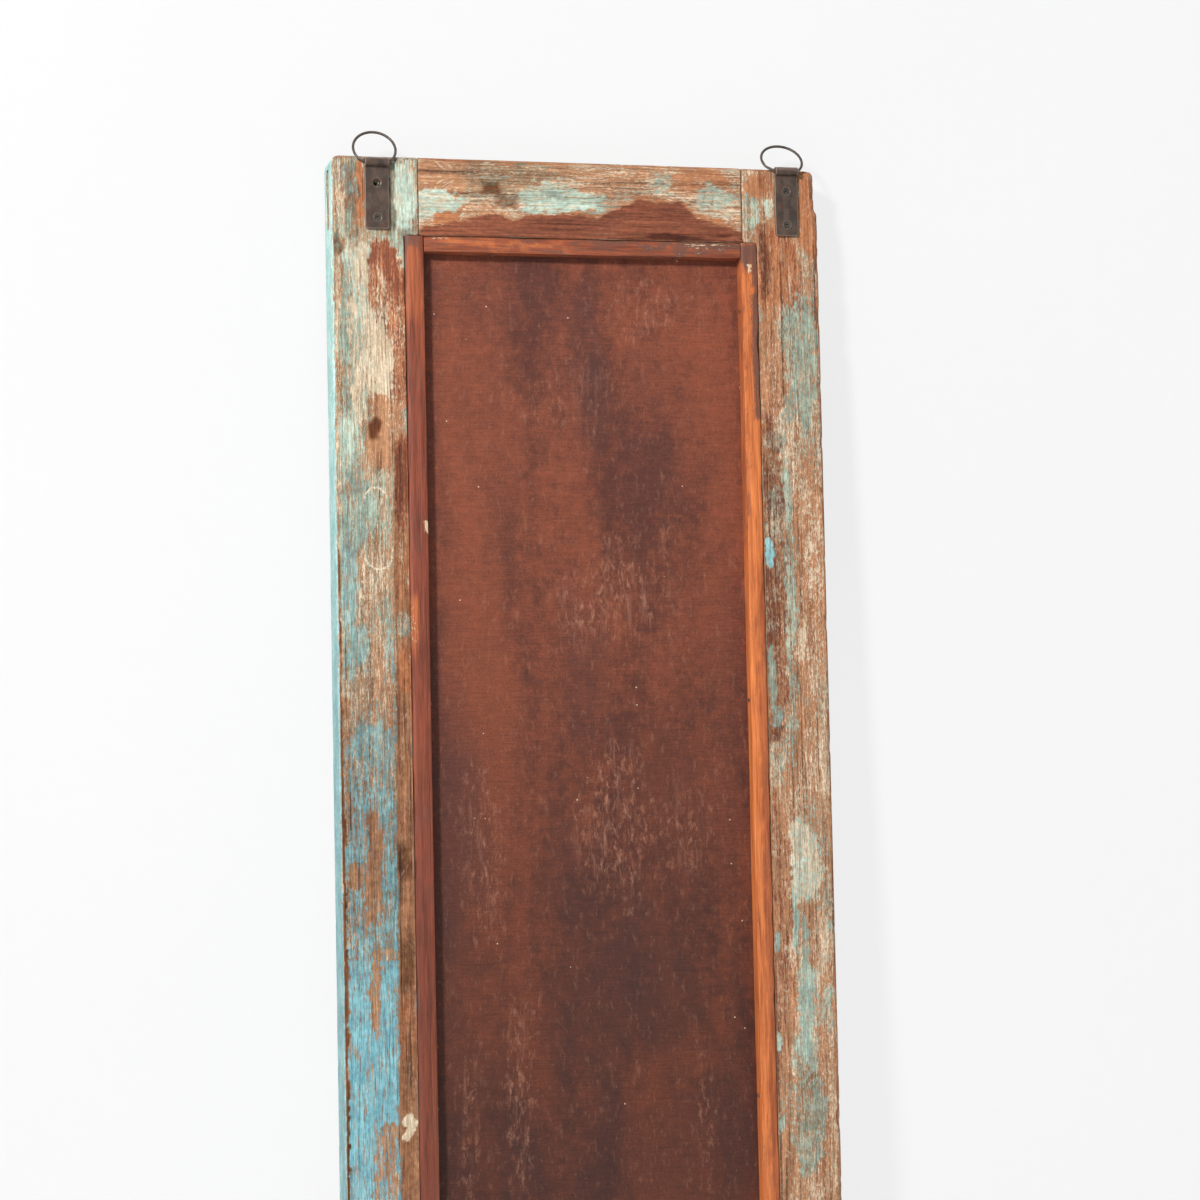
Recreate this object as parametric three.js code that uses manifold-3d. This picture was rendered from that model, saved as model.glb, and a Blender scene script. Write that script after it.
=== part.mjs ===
// A tall mirror in an old shutter frame, with two ring hangers on its back.
//
// Millimetres, +Z up. The mirror faces -Y and the back faces +Y.
// The origin is the middle of the frame's bottom edge, midway through its thickness.
// Left and right are as seen from the mirror's front, so right is +X.

import * as THREE from 'three';
import { mergeVertices, toCreasedNormals } from 'three/addons/utils/BufferGeometryUtils.js';
import Module from 'manifold-3d';

const wasm = await Module();
wasm.setup();

// Frame
const frameWidth = 400;
const frameHeight = 1200;
const frameThickness = 36;
const cornerRadius = 7;
const arrisRadius = 3;
const stileRightWidth = 70;
const stileLeftWidth = 64;
const railTopHeight = 75;
const railBottomHeight = 94;

// Rebate that takes the glass from behind, and the lip in front of it
const lipThickness = 14;
const rebateWidth = 12;
const lipChamfer = 5;

// Through tenons, and the pegs that lock them
const tenonThickness = 12;
const tenonEdgeMargin = 10;
const tenonRebateMargin = 6;
const tenonEndSink = 0.4;
const pegDiameter = 8;
const pegLength = 28;
const pegTipChamfer = 1.5;
const pegSideMargin = 17;
const pegEndMargin = 10;
const pegSink = 0.2;

// Glass, panel and the beads that hold them
const mirrorThickness = 4;
const panelThickness = 4.5;
const plateEdgeGap = 0.9;
const beadWidthRight = 15.5;
const beadWidthLeft = 14;
const beadWidthTop = 13;
const beadWidthBottom = 13;
const beadSink = 0.5;
const beadChamfer = 1;

// Pins through the beads into the frame
const pinDiameter = 1.6;
const pinHeadDiameter = 3.2;
const pinHeadThickness = 0.7;
const pinHold = 12;
const pinTipLength = 2;
const pinEndMargin = 55;
const sidePinCount = 4;
const endPinCount = 2;

// Hanger straps: a steel strip folded in two, with a rolled loop at the fold
const strapWidth = 19;
const strapThickness = 1;
const strapLength = 52.5;
const strapCornerRadius = 2;
const strapFoldGap = 0.3;
const loopInnerRadius = 2.5;
const loopNeckRadius = 2;
const rightStrapInset = 36.5;
const leftStrapInset = 27.5;
const rightLoopDrop = 6.4;
const leftLoopDrop = 4.7;

// Hanger screws: the upper is placed from the loop's axis, the lower from the strap's end
const upperScrewDrop = 16;
const lowerScrewMargin = 9;
const screwHeadDiameter = 6.6;
const screwHeadDepth = 1.6;
const screwShankDiameter = 3.4;
const screwLength = 13;
const screwTipLength = 4;
const crossSlotLength = 3.8;
const crossSlotWidth = 0.9;
const crossSlotDepth = 1.1;

// Hanger rings: round wire with a flatter foot that lies in the loop
const ringOuterDiameter = 36;
const ringWireDiameter = 2.2;
const ringFlattening = 2.6;
const ringFootRadius = 24;
const ringBendRadius = 4;
const rightRingSlide = 1.6;
const leftRingSlide = 2.8;

// Clearances
const fitGap = 0.3;
const seatGap = 0.25;

// Facets
const roundSteps = 16;
const pinSteps = 8;
const loopSteps = 20;
const neckSteps = 5;
const cornerSteps = 4;
const arrisSteps = 3;
const ringSteps = 60;
const wireSides = 8;
const creaseAngle = Math.PI / 6;
const quarterTurn = Math.PI / 2;

// Main planes and lines of the frame
const frontY = -frameThickness / 2;
const backY = frameThickness / 2;
const rightX = frameWidth / 2;
const leftX = -frameWidth / 2;
const lipBackY = frontY + lipThickness;
const opening = {
  left: leftX + stileLeftWidth,
  right: rightX - stileRightWidth,
  bottom: railBottomHeight,
  top: frameHeight - railTopHeight,
};
const rebate = {
  left: opening.left - rebateWidth,
  right: opening.right + rebateWidth,
  bottom: opening.bottom - rebateWidth,
  top: opening.top + rebateWidth,
};
const topTenon = { bottom: rebate.top + tenonRebateMargin, top: frameHeight - tenonEdgeMargin };
const bottomTenon = { bottom: tenonEdgeMargin, top: rebate.bottom - tenonRebateMargin };

// How far cutting shapes run past what they cut
const overrun = 40;

// Materials
const agedPaint = new THREE.MeshStandardMaterial({ color: 0x9fae9c, roughness: 0.85, metalness: 0 });
const bareWood = new THREE.MeshStandardMaterial({ color: 0x7d5138, roughness: 0.8, metalness: 0 });
const redBead = new THREE.MeshStandardMaterial({ color: 0x9c5332, roughness: 0.75, metalness: 0 });
const stainedPly = new THREE.MeshStandardMaterial({ color: 0x74402f, roughness: 0.7, metalness: 0 });
const silveredGlass = new THREE.MeshStandardMaterial({ color: 0xe8edee, roughness: 0.03, metalness: 1 });
const darkSteel = new THREE.MeshStandardMaterial({ color: 0x574a44, roughness: 0.5, metalness: 0.9 });
const greySteel = new THREE.MeshStandardMaterial({ color: 0x7c756f, roughness: 0.35, metalness: 1 });

const shutterMirror = new THREE.Group();

// Shared modelling steps

function toSolid(geometry) {
  geometry.deleteAttribute('normal');
  geometry.deleteAttribute('uv');
  const merged = mergeVertices(geometry, 1e-4);
  const mesh = new wasm.Mesh({
    numProp: 3,
    vertProperties: new Float32Array(merged.attributes.position.array),
    triVerts: new Uint32Array(merged.index.array),
  });
  return new wasm.Manifold(mesh);
}

function toGeometry(solid) {
  const mesh = solid.getMesh();
  const geometry = new THREE.BufferGeometry();
  geometry.setAttribute('position', new THREE.BufferAttribute(mesh.vertProperties, 3));
  geometry.setIndex(new THREE.BufferAttribute(mesh.triVerts, 1));
  return toCreasedNormals(geometry, creaseAngle);
}

function addPiece(name, solid, material, parent = shutterMirror) {
  const piece = new THREE.Mesh(toGeometry(solid), material.clone());
  piece.name = name;
  parent.add(piece);
  return piece;
}

function subtractAll(solid, cutters) {
  return cutters.reduce((rest, cutter) => rest.subtract(cutter), solid);
}

function box(x0, x1, y0, y1, z0, z1) {
  const geometry = new THREE.BoxGeometry(x1 - x0, y1 - y0, z1 - z0);
  geometry.translate((x0 + x1) / 2, (y0 + y1) / 2, (z0 + z1) / 2);
  return toSolid(geometry);
}

// Points along an arc, both ends included.
function arc(centreU, centreV, radius, from, to, steps) {
  return Array.from({ length: steps + 1 }, (_, step) => {
    const angle = THREE.MathUtils.lerp(from, to, step / steps);
    return new THREE.Vector2(centreU + radius * Math.cos(angle), centreV + radius * Math.sin(angle));
  });
}

function rectangle({ left, right, bottom, top }) {
  const corners = [[left, bottom], [right, bottom], [right, top], [left, top]];
  return corners.map(([x, z]) => new THREE.Vector2(x, z));
}

function roundedRectangle({ left, right, bottom, top }, radius) {
  return [
    ...arc(right - radius, bottom + radius, radius, -quarterTurn, 0, cornerSteps),
    ...arc(right - radius, top - radius, radius, 0, quarterTurn, cornerSteps),
    ...arc(left + radius, top - radius, radius, quarterTurn, 2 * quarterTurn, cornerSteps),
    ...arc(left + radius, bottom + radius, radius, 2 * quarterTurn, 3 * quarterTurn, cornerSteps),
  ];
}

// An outline drawn in X and Z becomes a slab between two depths.
function slab(outline, y0, y1, bevelOptions = { bevelEnabled: false }) {
  const bevel = bevelOptions.bevelThickness ?? 0;
  const depth = y1 - y0 - 2 * bevel;
  const geometry = new THREE.ExtrudeGeometry(new THREE.Shape(outline), { depth, ...bevelOptions });
  geometry.translate(0, 0, bevel);
  geometry.rotateX(quarterTurn);
  geometry.translate(0, y1, 0);
  return toSolid(geometry);
}

// A section becomes a bar, centred on its own length.
function bar(section, length) {
  const shape = new THREE.Shape(section);
  const geometry = new THREE.ExtrudeGeometry(shape, { depth: length, bevelEnabled: false });
  return geometry.translate(0, 0, -length / 2);
}

// The same for a section drawn in Y and Z, with the bar along X.
function barAlongX(section, length) {
  const sectionAxes = new THREE.Matrix4().makeBasis(
    new THREE.Vector3(0, 1, 0),
    new THREE.Vector3(0, 0, 1),
    new THREE.Vector3(1, 0, 0),
  );
  return toSolid(bar(section, length).applyMatrix4(sectionAxes));
}

// A round piece is turned about Y from a profile of [radius, y] points.
function turned(profile, steps = roundSteps) {
  const points = profile.map(([radius, y]) => new THREE.Vector2(radius, y));
  return toSolid(new THREE.LatheGeometry(points, steps));
}

// Pegs: two in each corner joint, set on a diagonal and driven from the front

function cornerPegs(corner, tenon, shoulderX, outerX) {
  const outward = Math.sign(outerX);
  return [
    { name: `peg_${corner}_inner`, x: shoulderX + outward * pegSideMargin, z: tenon.bottom + pegEndMargin },
    { name: `peg_${corner}_outer`, x: outerX - outward * pegSideMargin, z: tenon.top - pegEndMargin },
  ];
}

const pegs = [
  ...cornerPegs('top_right', topTenon, opening.right, rightX),
  ...cornerPegs('top_left', topTenon, opening.left, leftX),
  ...cornerPegs('bottom_right', bottomTenon, opening.right, rightX),
  ...cornerPegs('bottom_left', bottomTenon, opening.left, leftX),
];
const pegRadius = pegDiameter / 2;
const pegSolid = turned([
  [0, 0],
  [pegRadius, 0],
  [pegRadius, pegLength - pegTipChamfer],
  [pegRadius - pegTipChamfer, pegLength],
  [0, pegLength],
]);
const pegHole = turned([
  [0, -overrun],
  [pegRadius + fitGap, -overrun],
  [pegRadius + fitGap, pegLength + fitGap],
  [0, pegLength + fitGap],
]);
const pegHoles = pegs.map(({ x, z }) => pegHole.translate([x, frontY + pegSink, z]));

for (const { name, x, z } of pegs) {
  addPiece(name, pegSolid, bareWood).position.set(x, frontY + pegSink, z);
}

// Glass and panel: two plates of one outline, laid in the rebate from behind

const plateOutline = rectangle({
  left: rebate.left + plateEdgeGap,
  right: rebate.right - plateEdgeGap,
  bottom: rebate.bottom + fitGap,
  top: rebate.top - plateEdgeGap,
});
const mirrorY = lipBackY + seatGap;
const panelY = mirrorY + mirrorThickness + seatGap;

addPiece('mirror_plate', slab(plateOutline, 0, mirrorThickness), silveredGlass).position.y = mirrorY;
addPiece('back_panel', slab(plateOutline, 0, panelThickness), stainedPly).position.y = panelY;

// Beads: each is drawn lying along its own Z, with its own X pointing from the pane out to the frame

const beadFrontY = panelY + panelThickness + seatGap;
const beadBackY = backY - beadSink;
const pinY = (beadFrontY + beadBackY) / 2;
const pinRadius = pinDiameter / 2;
const pinHeadRadius = pinHeadDiameter / 2;

const rightBeadX = rebate.right - seatGap - beadWidthRight;
const leftBeadX = rebate.left + seatGap + beadWidthLeft;
const sideBead = {
  length: rebate.top - rebate.bottom - 2 * seatGap,
  z: (rebate.top + rebate.bottom) / 2,
  pinCount: sidePinCount,
};
const endBead = {
  length: rightBeadX - leftBeadX - 2 * seatGap,
  x: (rightBeadX + leftBeadX) / 2,
  pinCount: endPinCount,
};
const topBeadZ = rebate.top - seatGap - beadWidthTop;
const bottomBeadZ = rebate.bottom + seatGap + beadWidthBottom;
const beads = [
  { side: 'right', width: beadWidthRight, turn: 0, x: rightBeadX, ...sideBead },
  { side: 'left', width: beadWidthLeft, turn: Math.PI, x: leftBeadX, ...sideBead },
  { side: 'top', width: beadWidthTop, turn: -quarterTurn, z: topBeadZ, ...endBead },
  { side: 'bottom', width: beadWidthBottom, turn: quarterTurn, z: bottomBeadZ, ...endBead },
];

function beadGroup({ x, z, turn }) {
  const group = new THREE.Group();
  group.position.set(x, 0, z);
  group.rotation.y = turn;
  return group;
}

// Distances along the bead at which its pins stand, spread evenly between the end margins.
function pinStations({ length, pinCount }) {
  const reach = length / 2 - pinEndMargin;
  return Array.from({ length: pinCount }, (_, index) => {
    return THREE.MathUtils.lerp(-reach, reach, index / (pinCount - 1));
  });
}

function beadStrip({ width, length }) {
  const section = [
    new THREE.Vector2(0, beadFrontY),
    new THREE.Vector2(width, beadFrontY),
    new THREE.Vector2(width, beadBackY),
    new THREE.Vector2(beadChamfer, beadBackY),
    new THREE.Vector2(0, beadBackY - beadChamfer),
  ];
  return toSolid(bar(section, length));
}

// A pin is turned about its own Y, with its head's underside at y = 0.
function pinSolid({ width }) {
  const reach = width + seatGap + pinHold;
  const profile = [
    [0, -pinHeadThickness],
    [pinHeadRadius, -pinHeadThickness],
    [pinHeadRadius, 0],
    [pinRadius, 0],
    [pinRadius, reach - pinTipLength],
    [0, reach],
  ];
  return turned(profile, pinSteps);
}

// The hole for a pin, along the bead's X.
function pinHole({ width }, station) {
  const reach = width + seatGap + pinHold + fitGap;
  const radius = pinRadius + fitGap;
  const hole = turned([[0, -seatGap], [radius, -seatGap], [radius, reach], [0, reach]], pinSteps);
  return hole.rotate([0, 0, -90]).translate([0, pinY, station]);
}

const pinHoles = [];
for (const bead of beads) {
  const group = beadGroup(bead);
  shutterMirror.add(group);
  group.updateMatrix();
  const stations = pinStations(bead);
  const holes = stations.map((station) => pinHole(bead, station));
  addPiece(`bead_${bead.side}`, subtractAll(beadStrip(bead), holes), redBead, group);
  stations.forEach((station, index) => {
    const pin = addPiece(`bead_pin_${bead.side}_${index + 1}`, pinSolid(bead), darkSteel, group);
    pin.position.set(-seatGap, pinY, station);
    pin.rotation.z = -quarterTurn;
  });
  pinHoles.push(...holes.map((hole) => hole.transform(group.matrix.elements)));
}

// Hangers: the places of the loops, and how far each ring leans over the frame's edge

const wireRadius = ringWireDiameter / 2;
const loopOuterRadius = loopInnerRadius + strapThickness;
const loopAxisY = backY + seatGap + loopOuterRadius;
const strapFaceY = backY + seatGap + 2 * strapThickness + strapFoldGap;

// The lean at which the wire comes to rest on the frame's rounded edge.
function ringLean(loopDrop) {
  const behindArris = loopAxisY - (backY - arrisRadius);
  const belowArris = loopDrop - arrisRadius;
  const standOff = arrisRadius + wireRadius + fitGap;
  return Math.acos(standOff / Math.hypot(behindArris, belowArris)) - Math.atan2(belowArris, behindArris);
}

const lowerScrewDrop = strapLength - lowerScrewMargin;
const hangers = [
  {
    side: 'right',
    x: rightX - rightStrapInset,
    loopDrop: rightLoopDrop,
    slide: rightRingSlide,
    screws: { lower: lowerScrewDrop },
  },
  {
    side: 'left',
    x: leftX + leftStrapInset,
    loopDrop: leftLoopDrop,
    slide: leftRingSlide,
    screws: { upper: upperScrewDrop, lower: lowerScrewDrop },
  },
];

// The folded strip's section, drawn about the loop's axis: up the back layer, round the loop,
// through the neck and down the front layer, then back along its inner side.
function strapSection() {
  const middleRadius = loopInnerRadius + strapThickness / 2;
  const frontLayer = strapThickness + strapFoldGap - middleRadius;
  const neckY = frontLayer + loopNeckRadius;
  const neckZ = -Math.sqrt((middleRadius + loopNeckRadius) ** 2 - neckY ** 2);
  const loopEnd = Math.atan2(neckZ, neckY);
  const neckStart = loopEnd + Math.PI;
  const neckInner = loopNeckRadius - strapThickness / 2;
  const neckOuter = loopNeckRadius + strapThickness / 2;
  return [
    new THREE.Vector2(-loopOuterRadius, -strapLength),
    ...arc(0, 0, loopOuterRadius, Math.PI, loopEnd, loopSteps),
    ...arc(neckY, neckZ, neckInner, neckStart, Math.PI, neckSteps).slice(1),
    new THREE.Vector2(frontLayer + strapThickness / 2, -strapLength),
    new THREE.Vector2(frontLayer - strapThickness / 2, -strapLength),
    ...arc(neckY, neckZ, neckOuter, Math.PI, neckStart, neckSteps),
    ...arc(0, 0, loopInnerRadius, loopEnd, Math.PI, loopSteps).slice(1),
    new THREE.Vector2(-loopInnerRadius, -strapLength),
  ];
}

// A countersunk screw is turned about Y, with the top of its head at y = 0.
const screwHeadRadius = screwHeadDiameter / 2;
const screwShankRadius = screwShankDiameter / 2;
const screwBlank = turned([
  [0, -screwLength],
  [screwShankRadius, screwTipLength - screwLength],
  [screwShankRadius, -screwHeadDepth],
  [screwHeadRadius, 0],
  [0, 0],
]);
const halfSlot = crossSlotLength / 2;
const halfSlotWidth = crossSlotWidth / 2;
const screwSolid = subtractAll(screwBlank, [
  box(-halfSlot, halfSlot, -crossSlotDepth, overrun, -halfSlotWidth, halfSlotWidth),
  box(-halfSlotWidth, halfSlotWidth, -crossSlotDepth, overrun, -halfSlot, halfSlot),
]);
const screwHole = turned([
  [0, -screwLength - fitGap],
  [screwShankRadius + fitGap, screwTipLength - screwLength - fitGap],
  [screwShankRadius + fitGap, -screwHeadDepth],
  [screwHeadRadius + fitGap, 0],
  [screwHeadRadius + fitGap, overrun],
  [0, overrun],
]);

// Both holes of a strap, measured from its loop's axis. One of them may hold no screw.
const strapScrewHoles = [upperScrewDrop, lowerScrewDrop].map((drop) => {
  return screwHole.translate([0, strapFaceY - loopAxisY, -drop]);
});

function strapSolid() {
  const strip = barAlongX(strapSection(), strapWidth);
  const outline = roundedRectangle(
    { left: -strapWidth / 2, right: strapWidth / 2, bottom: -strapLength, top: overrun },
    strapCornerRadius,
  );
  return subtractAll(strip.intersect(slab(outline, -overrun, overrun)), strapScrewHoles);
}

// The wire's centre line, drawn in X and Z about the loop's axis: a shallow arc through the loop,
// a tight bend at each end of it, and the large round of the ring.
function ringPath() {
  const ringRadius = ringOuterDiameter / 2 - wireRadius;
  const halfLoop = strapWidth / 2;
  const footSag = ringFootRadius - Math.sqrt(ringFootRadius ** 2 - halfLoop ** 2);
  const footCentreZ = ringFootRadius - footSag / 2;
  const ringBelowFoot = ringFootRadius + ringFlattening - ringRadius;
  const toRing = ringRadius - ringBendRadius;
  const toFoot = ringFootRadius - ringBendRadius;
  const bendDepth = (toFoot ** 2 - toRing ** 2 + ringBelowFoot ** 2) / (2 * ringBelowFoot);
  const bendX = Math.sqrt(toFoot ** 2 - bendDepth ** 2);
  const bendZ = footCentreZ - bendDepth;
  const ringZ = footCentreZ - ringBelowFoot;
  const footAngle = Math.atan2(bendX, bendDepth);
  const ringAngle = Math.atan2(bendZ - ringZ, bendX);
  const down = -quarterTurn;
  const path = new THREE.CurvePath();
  const addArc = (x, z, radius, from, to) => {
    path.add(new THREE.EllipseCurve(x, z, radius, radius, from, to, false));
  };
  addArc(0, footCentreZ, ringFootRadius, down - footAngle, down + footAngle);
  addArc(bendX, bendZ, ringBendRadius, down + footAngle, ringAngle);
  addArc(0, ringZ, ringRadius, ringAngle, Math.PI - ringAngle);
  addArc(-bendX, bendZ, ringBendRadius, Math.PI - ringAngle, Math.PI - down - footAngle);
  return { path, footCentreZ };
}

// The same line in space, slid through the loop by turning it about the middle of its foot's arc.
class SlidRingCurve extends THREE.Curve {
  constructor({ path, footCentreZ }, slide) {
    super();
    this.path = path;
    this.footCentreZ = footCentreZ;
    this.turn = slide / ringFootRadius;
  }

  getPoint(t) {
    const flat = this.path.getPoint(t);
    flat.rotateAround(new THREE.Vector2(0, this.footCentreZ), this.turn);
    return new THREE.Vector3(flat.x, 0, flat.y);
  }
}

function ringSolid(slide) {
  const curve = new SlidRingCurve(ringPath(), slide);
  return toSolid(new THREE.TubeGeometry(curve, ringSteps, wireRadius, wireSides, true));
}

const screwHoles = [];
for (const { side, x, loopDrop, slide, screws } of hangers) {
  const loopAxis = new THREE.Vector3(x, loopAxisY, frameHeight - loopDrop);
  const hanger = new THREE.Group();
  hanger.position.copy(loopAxis);
  shutterMirror.add(hanger);
  addPiece(`hanger_strap_${side}`, strapSolid(), darkSteel, hanger);
  addPiece(`hanger_ring_${side}`, ringSolid(slide), greySteel, hanger).rotation.x = ringLean(loopDrop);
  for (const [place, drop] of Object.entries(screws)) {
    const screw = addPiece(`hanger_screw_${side}_${place}`, screwSolid, darkSteel, hanger);
    screw.position.set(0, strapFaceY - loopAxisY, -drop);
  }
  screwHoles.push(...strapScrewHoles.map((hole) => hole.translate(loopAxis.toArray())));
}

// Frame members, all cut from one rounded blank

const blankRectangle = { left: leftX, right: rightX, bottom: 0, top: frameHeight };
const frameBlank = slab(roundedRectangle(blankRectangle, cornerRadius), frontY, backY, {
  bevelThickness: arrisRadius,
  bevelSize: arrisRadius,
  bevelOffset: -arrisRadius,
  bevelSegments: arrisSteps,
});
const chamferCutter = slab(rectangle(opening), frontY - overrun, frontY + lipChamfer, {
  bevelThickness: lipChamfer,
  bevelSize: lipChamfer,
  bevelSegments: 1,
});
const paneCutters = [
  slab(rectangle(rebate), lipBackY, backY + overrun),
  slab(rectangle(opening), frontY - overrun, backY + overrun),
  chamferCutter,
];

function tenon({ bottom, top }) {
  const halfThickness = tenonThickness / 2;
  return box(leftX + tenonEndSink, rightX - tenonEndSink, -halfThickness, halfThickness, bottom, top);
}

function mortise({ bottom, top }) {
  const halfThickness = tenonThickness / 2 + fitGap;
  return box(
    leftX - overrun,
    rightX + overrun,
    -halfThickness,
    halfThickness,
    bottom - fitGap,
    top + fitGap,
  );
}

function board(x0, x1, z0, z1) {
  return frameBlank.intersect(box(x0, x1, frontY - overrun, backY + overrun, z0, z1));
}

function stile(x0, x1) {
  const cutters = [mortise(topTenon), mortise(bottomTenon), ...pegHoles, ...pinHoles, ...screwHoles];
  return subtractAll(board(x0, x1, -overrun, frameHeight + overrun), [...paneCutters, ...cutters]);
}

function rail(z0, z1, tenonSpan) {
  const shouldered = board(opening.left + seatGap, opening.right - seatGap, z0, z1);
  return subtractAll(shouldered.add(tenon(tenonSpan)), [...paneCutters, ...pegHoles, ...pinHoles]);
}

addPiece('stile_right', stile(opening.right, rightX + overrun), agedPaint);
addPiece('stile_left', stile(leftX - overrun, opening.left), agedPaint);
addPiece('rail_top', rail(opening.top, frameHeight + overrun, topTenon), agedPaint);
addPiece('rail_bottom', rail(-overrun, opening.bottom, bottomTenon), agedPaint);

export default shutterMirror;
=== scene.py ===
import math

import bmesh
import bpy
import numpy as np
from mathutils import Matrix, Vector


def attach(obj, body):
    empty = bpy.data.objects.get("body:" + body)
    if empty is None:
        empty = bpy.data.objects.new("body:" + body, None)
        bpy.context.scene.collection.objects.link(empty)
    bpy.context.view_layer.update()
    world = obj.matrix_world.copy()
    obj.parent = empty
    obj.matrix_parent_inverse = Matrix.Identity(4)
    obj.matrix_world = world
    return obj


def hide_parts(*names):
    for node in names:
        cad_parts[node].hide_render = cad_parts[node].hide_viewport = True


# A shutter mirror seen from its back: +Z up, the mirror faces -Y, metres.
# Sizes in the dictionaries are in millimetres, colours are 0 to 255 as seen on screen.

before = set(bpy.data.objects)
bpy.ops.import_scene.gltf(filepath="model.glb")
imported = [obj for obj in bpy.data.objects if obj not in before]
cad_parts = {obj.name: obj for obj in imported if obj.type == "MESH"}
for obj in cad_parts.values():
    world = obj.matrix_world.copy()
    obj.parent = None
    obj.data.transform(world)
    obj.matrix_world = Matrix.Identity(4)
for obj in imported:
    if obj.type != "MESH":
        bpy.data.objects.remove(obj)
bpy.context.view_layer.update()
scene = bpy.context.scene
scene.view_settings.view_transform = "Standard"
mm = 0.001
white = (1.0, 1.0, 1.0, 1.0)


def rgb(red, green, blue):
    def toLinear(value):
        value /= 255
        return value / 12.92 if value <= 0.04045 else ((value + 0.055) / 1.055) ** 2.4
    return (toLinear(red), toLinear(green), toLinear(blue), 1.0)


def palette(colors):
    return {name: rgb(*value) for name, value in colors.items()}


def isSocket(value):
    return isinstance(value, bpy.types.NodeSocket)


def connect(item, inputs):
    for name, value in inputs.items():
        socket = item.inputs[name]
        if isSocket(value):
            socket.id_data.links.new(value, socket)
        else:
            socket.default_value = value
    return item


# A node goes into the tree of the sockets that it reads, or else into the one given.
def put(kind, inputs, tree=None, **settings):
    tree = tree or next(value.id_data for value in inputs.values() if isSocket(value))
    item = tree.nodes.new(kind)
    for name, value in settings.items():
        setattr(item, name, value)
    return connect(item, inputs)


def calc(operation, *values):
    return put("ShaderNodeMath", dict(enumerate(values)), operation=operation).outputs[0]


def times(first, second):
    return calc("MULTIPLY", first, second)


def timesPlus(first, second, added):
    return calc("MULTIPLY_ADD", first, second, added)


def larger(first, second):
    return calc("MAXIMUM", first, second)


def vectorMath(operation, *values):
    return put("ShaderNodeVectorMath", dict(enumerate(values)), operation=operation).outputs


def lengthOf(vector):
    return vectorMath("LENGTH", vector)["Value"]


def warp(vector, field, reach):
    shift = put("ShaderNodeVectorMath", {0: field, "Scale": reach}, operation="SCALE").outputs[0]
    return vectorMath("ADD", vector, shift)[0]


def mixColor(factor, under, over, blend="MIX"):
    given = {0: factor, 6: under, 7: over}
    return put("ShaderNodeMix", given, data_type="RGBA", blend_type=blend, clamp_factor=True).outputs[2]


def coat(color, mask, share, over):
    return mixColor(times(mask, share), color, over)


def shades(colors, name, level):
    return mixColor(level, colors[name + "Dark"], colors[name + "Light"])


def dim(color, level):
    grey = put("ShaderNodeCombineColor", {0: level, 1: level, 2: level}).outputs[0]
    return mixColor(1.0, color, grey, "MULTIPLY")


def fade(value, low, high, toLow=0.0, toHigh=1.0):
    given = {"Value": value, "From Min": low, "From Max": high, "To Min": toLow, "To Max": toHigh}
    return put("ShaderNodeMapRange", given, interpolation_type="SMOOTHSTEP").outputs[0]


def noise(vector, scale, detail=3.0, roughness=0.5, distortion=0.0):
    given = {"Vector": vector, "Scale": scale, "Detail": detail, "Roughness": roughness}
    return put("ShaderNodeTexNoise", {**given, "Distortion": distortion}).outputs[0]


# The grain runs along Z, so the scale differs across it and along it.
def stretch(vector, across, along, offset=(0.0, 0.0, 0.0)):
    given = {"Vector": vector, "Scale": (across, across, along), "Location": offset}
    return put("ShaderNodeMapping", given).outputs[0]


def separate(color):
    return put("ShaderNodeSeparateColor", {0: color}).outputs


def heightOf(vector):
    return put("ShaderNodeSeparateXYZ", {0: vector}).outputs[2]


def objectPlace(tree):
    return put("ShaderNodeTexCoord", {}, tree).outputs["Object"]


def attribute(tree, name):
    return put("ShaderNodeAttribute", {}, tree, attribute_name=name).outputs


# An input without a value is a vector. The other inputs and all outputs are numbers.
def newGroup(name, inputs, outputs):
    tree = bpy.data.node_groups.new(name, "ShaderNodeTree")
    for label, value in inputs.items():
        kind = "NodeSocketVector" if value is None else "NodeSocketFloat"
        socket = tree.interface.new_socket(name=label, in_out="INPUT", socket_type=kind)
        if value is not None:
            socket.default_value = value
    for label in outputs:
        tree.interface.new_socket(name=label, in_out="OUTPUT", socket_type="NodeSocketFloat")
    return tree, tree.nodes.new("NodeGroupInput").outputs, tree.nodes.new("NodeGroupOutput")


def useGroup(group, inputs):
    return put("ShaderNodeGroup", inputs, node_tree=group).outputs


def newMaterial(name):
    material = bpy.data.materials.new(name)
    material.use_nodes = True
    return material, material.node_tree, material.node_tree.nodes["Principled BSDF"]


# A look holds the bump's strength and depth, and the values that are the same all over.
def finish(shader, look, color, roughness, height):
    strength, depth = look["bump"]
    given = {"Height": height, "Strength": strength, "Distance": depth * mm}
    normal = put("ShaderNodeBump", given).outputs[0]
    connect(shader, look.get("plain", {}))
    connect(shader, {"Base Color": color, "Roughness": roughness, "Normal": normal})


def blendShaders(share, first, second):
    both = put("ShaderNodeMixShader", {0: share, 1: first.outputs[0], 2: second.outputs[0]})
    connect(both.id_data.nodes["Material Output"], {"Surface": both.outputs[0]})


view = {
    "place": (0.57331, 2.45413, 0.67543),
    "azimuth": 166.52,
    "elevation": -3.93,
    "roll": -1.20,
    "lens": 94.95,
    "sensor": 36.0,
}


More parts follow.
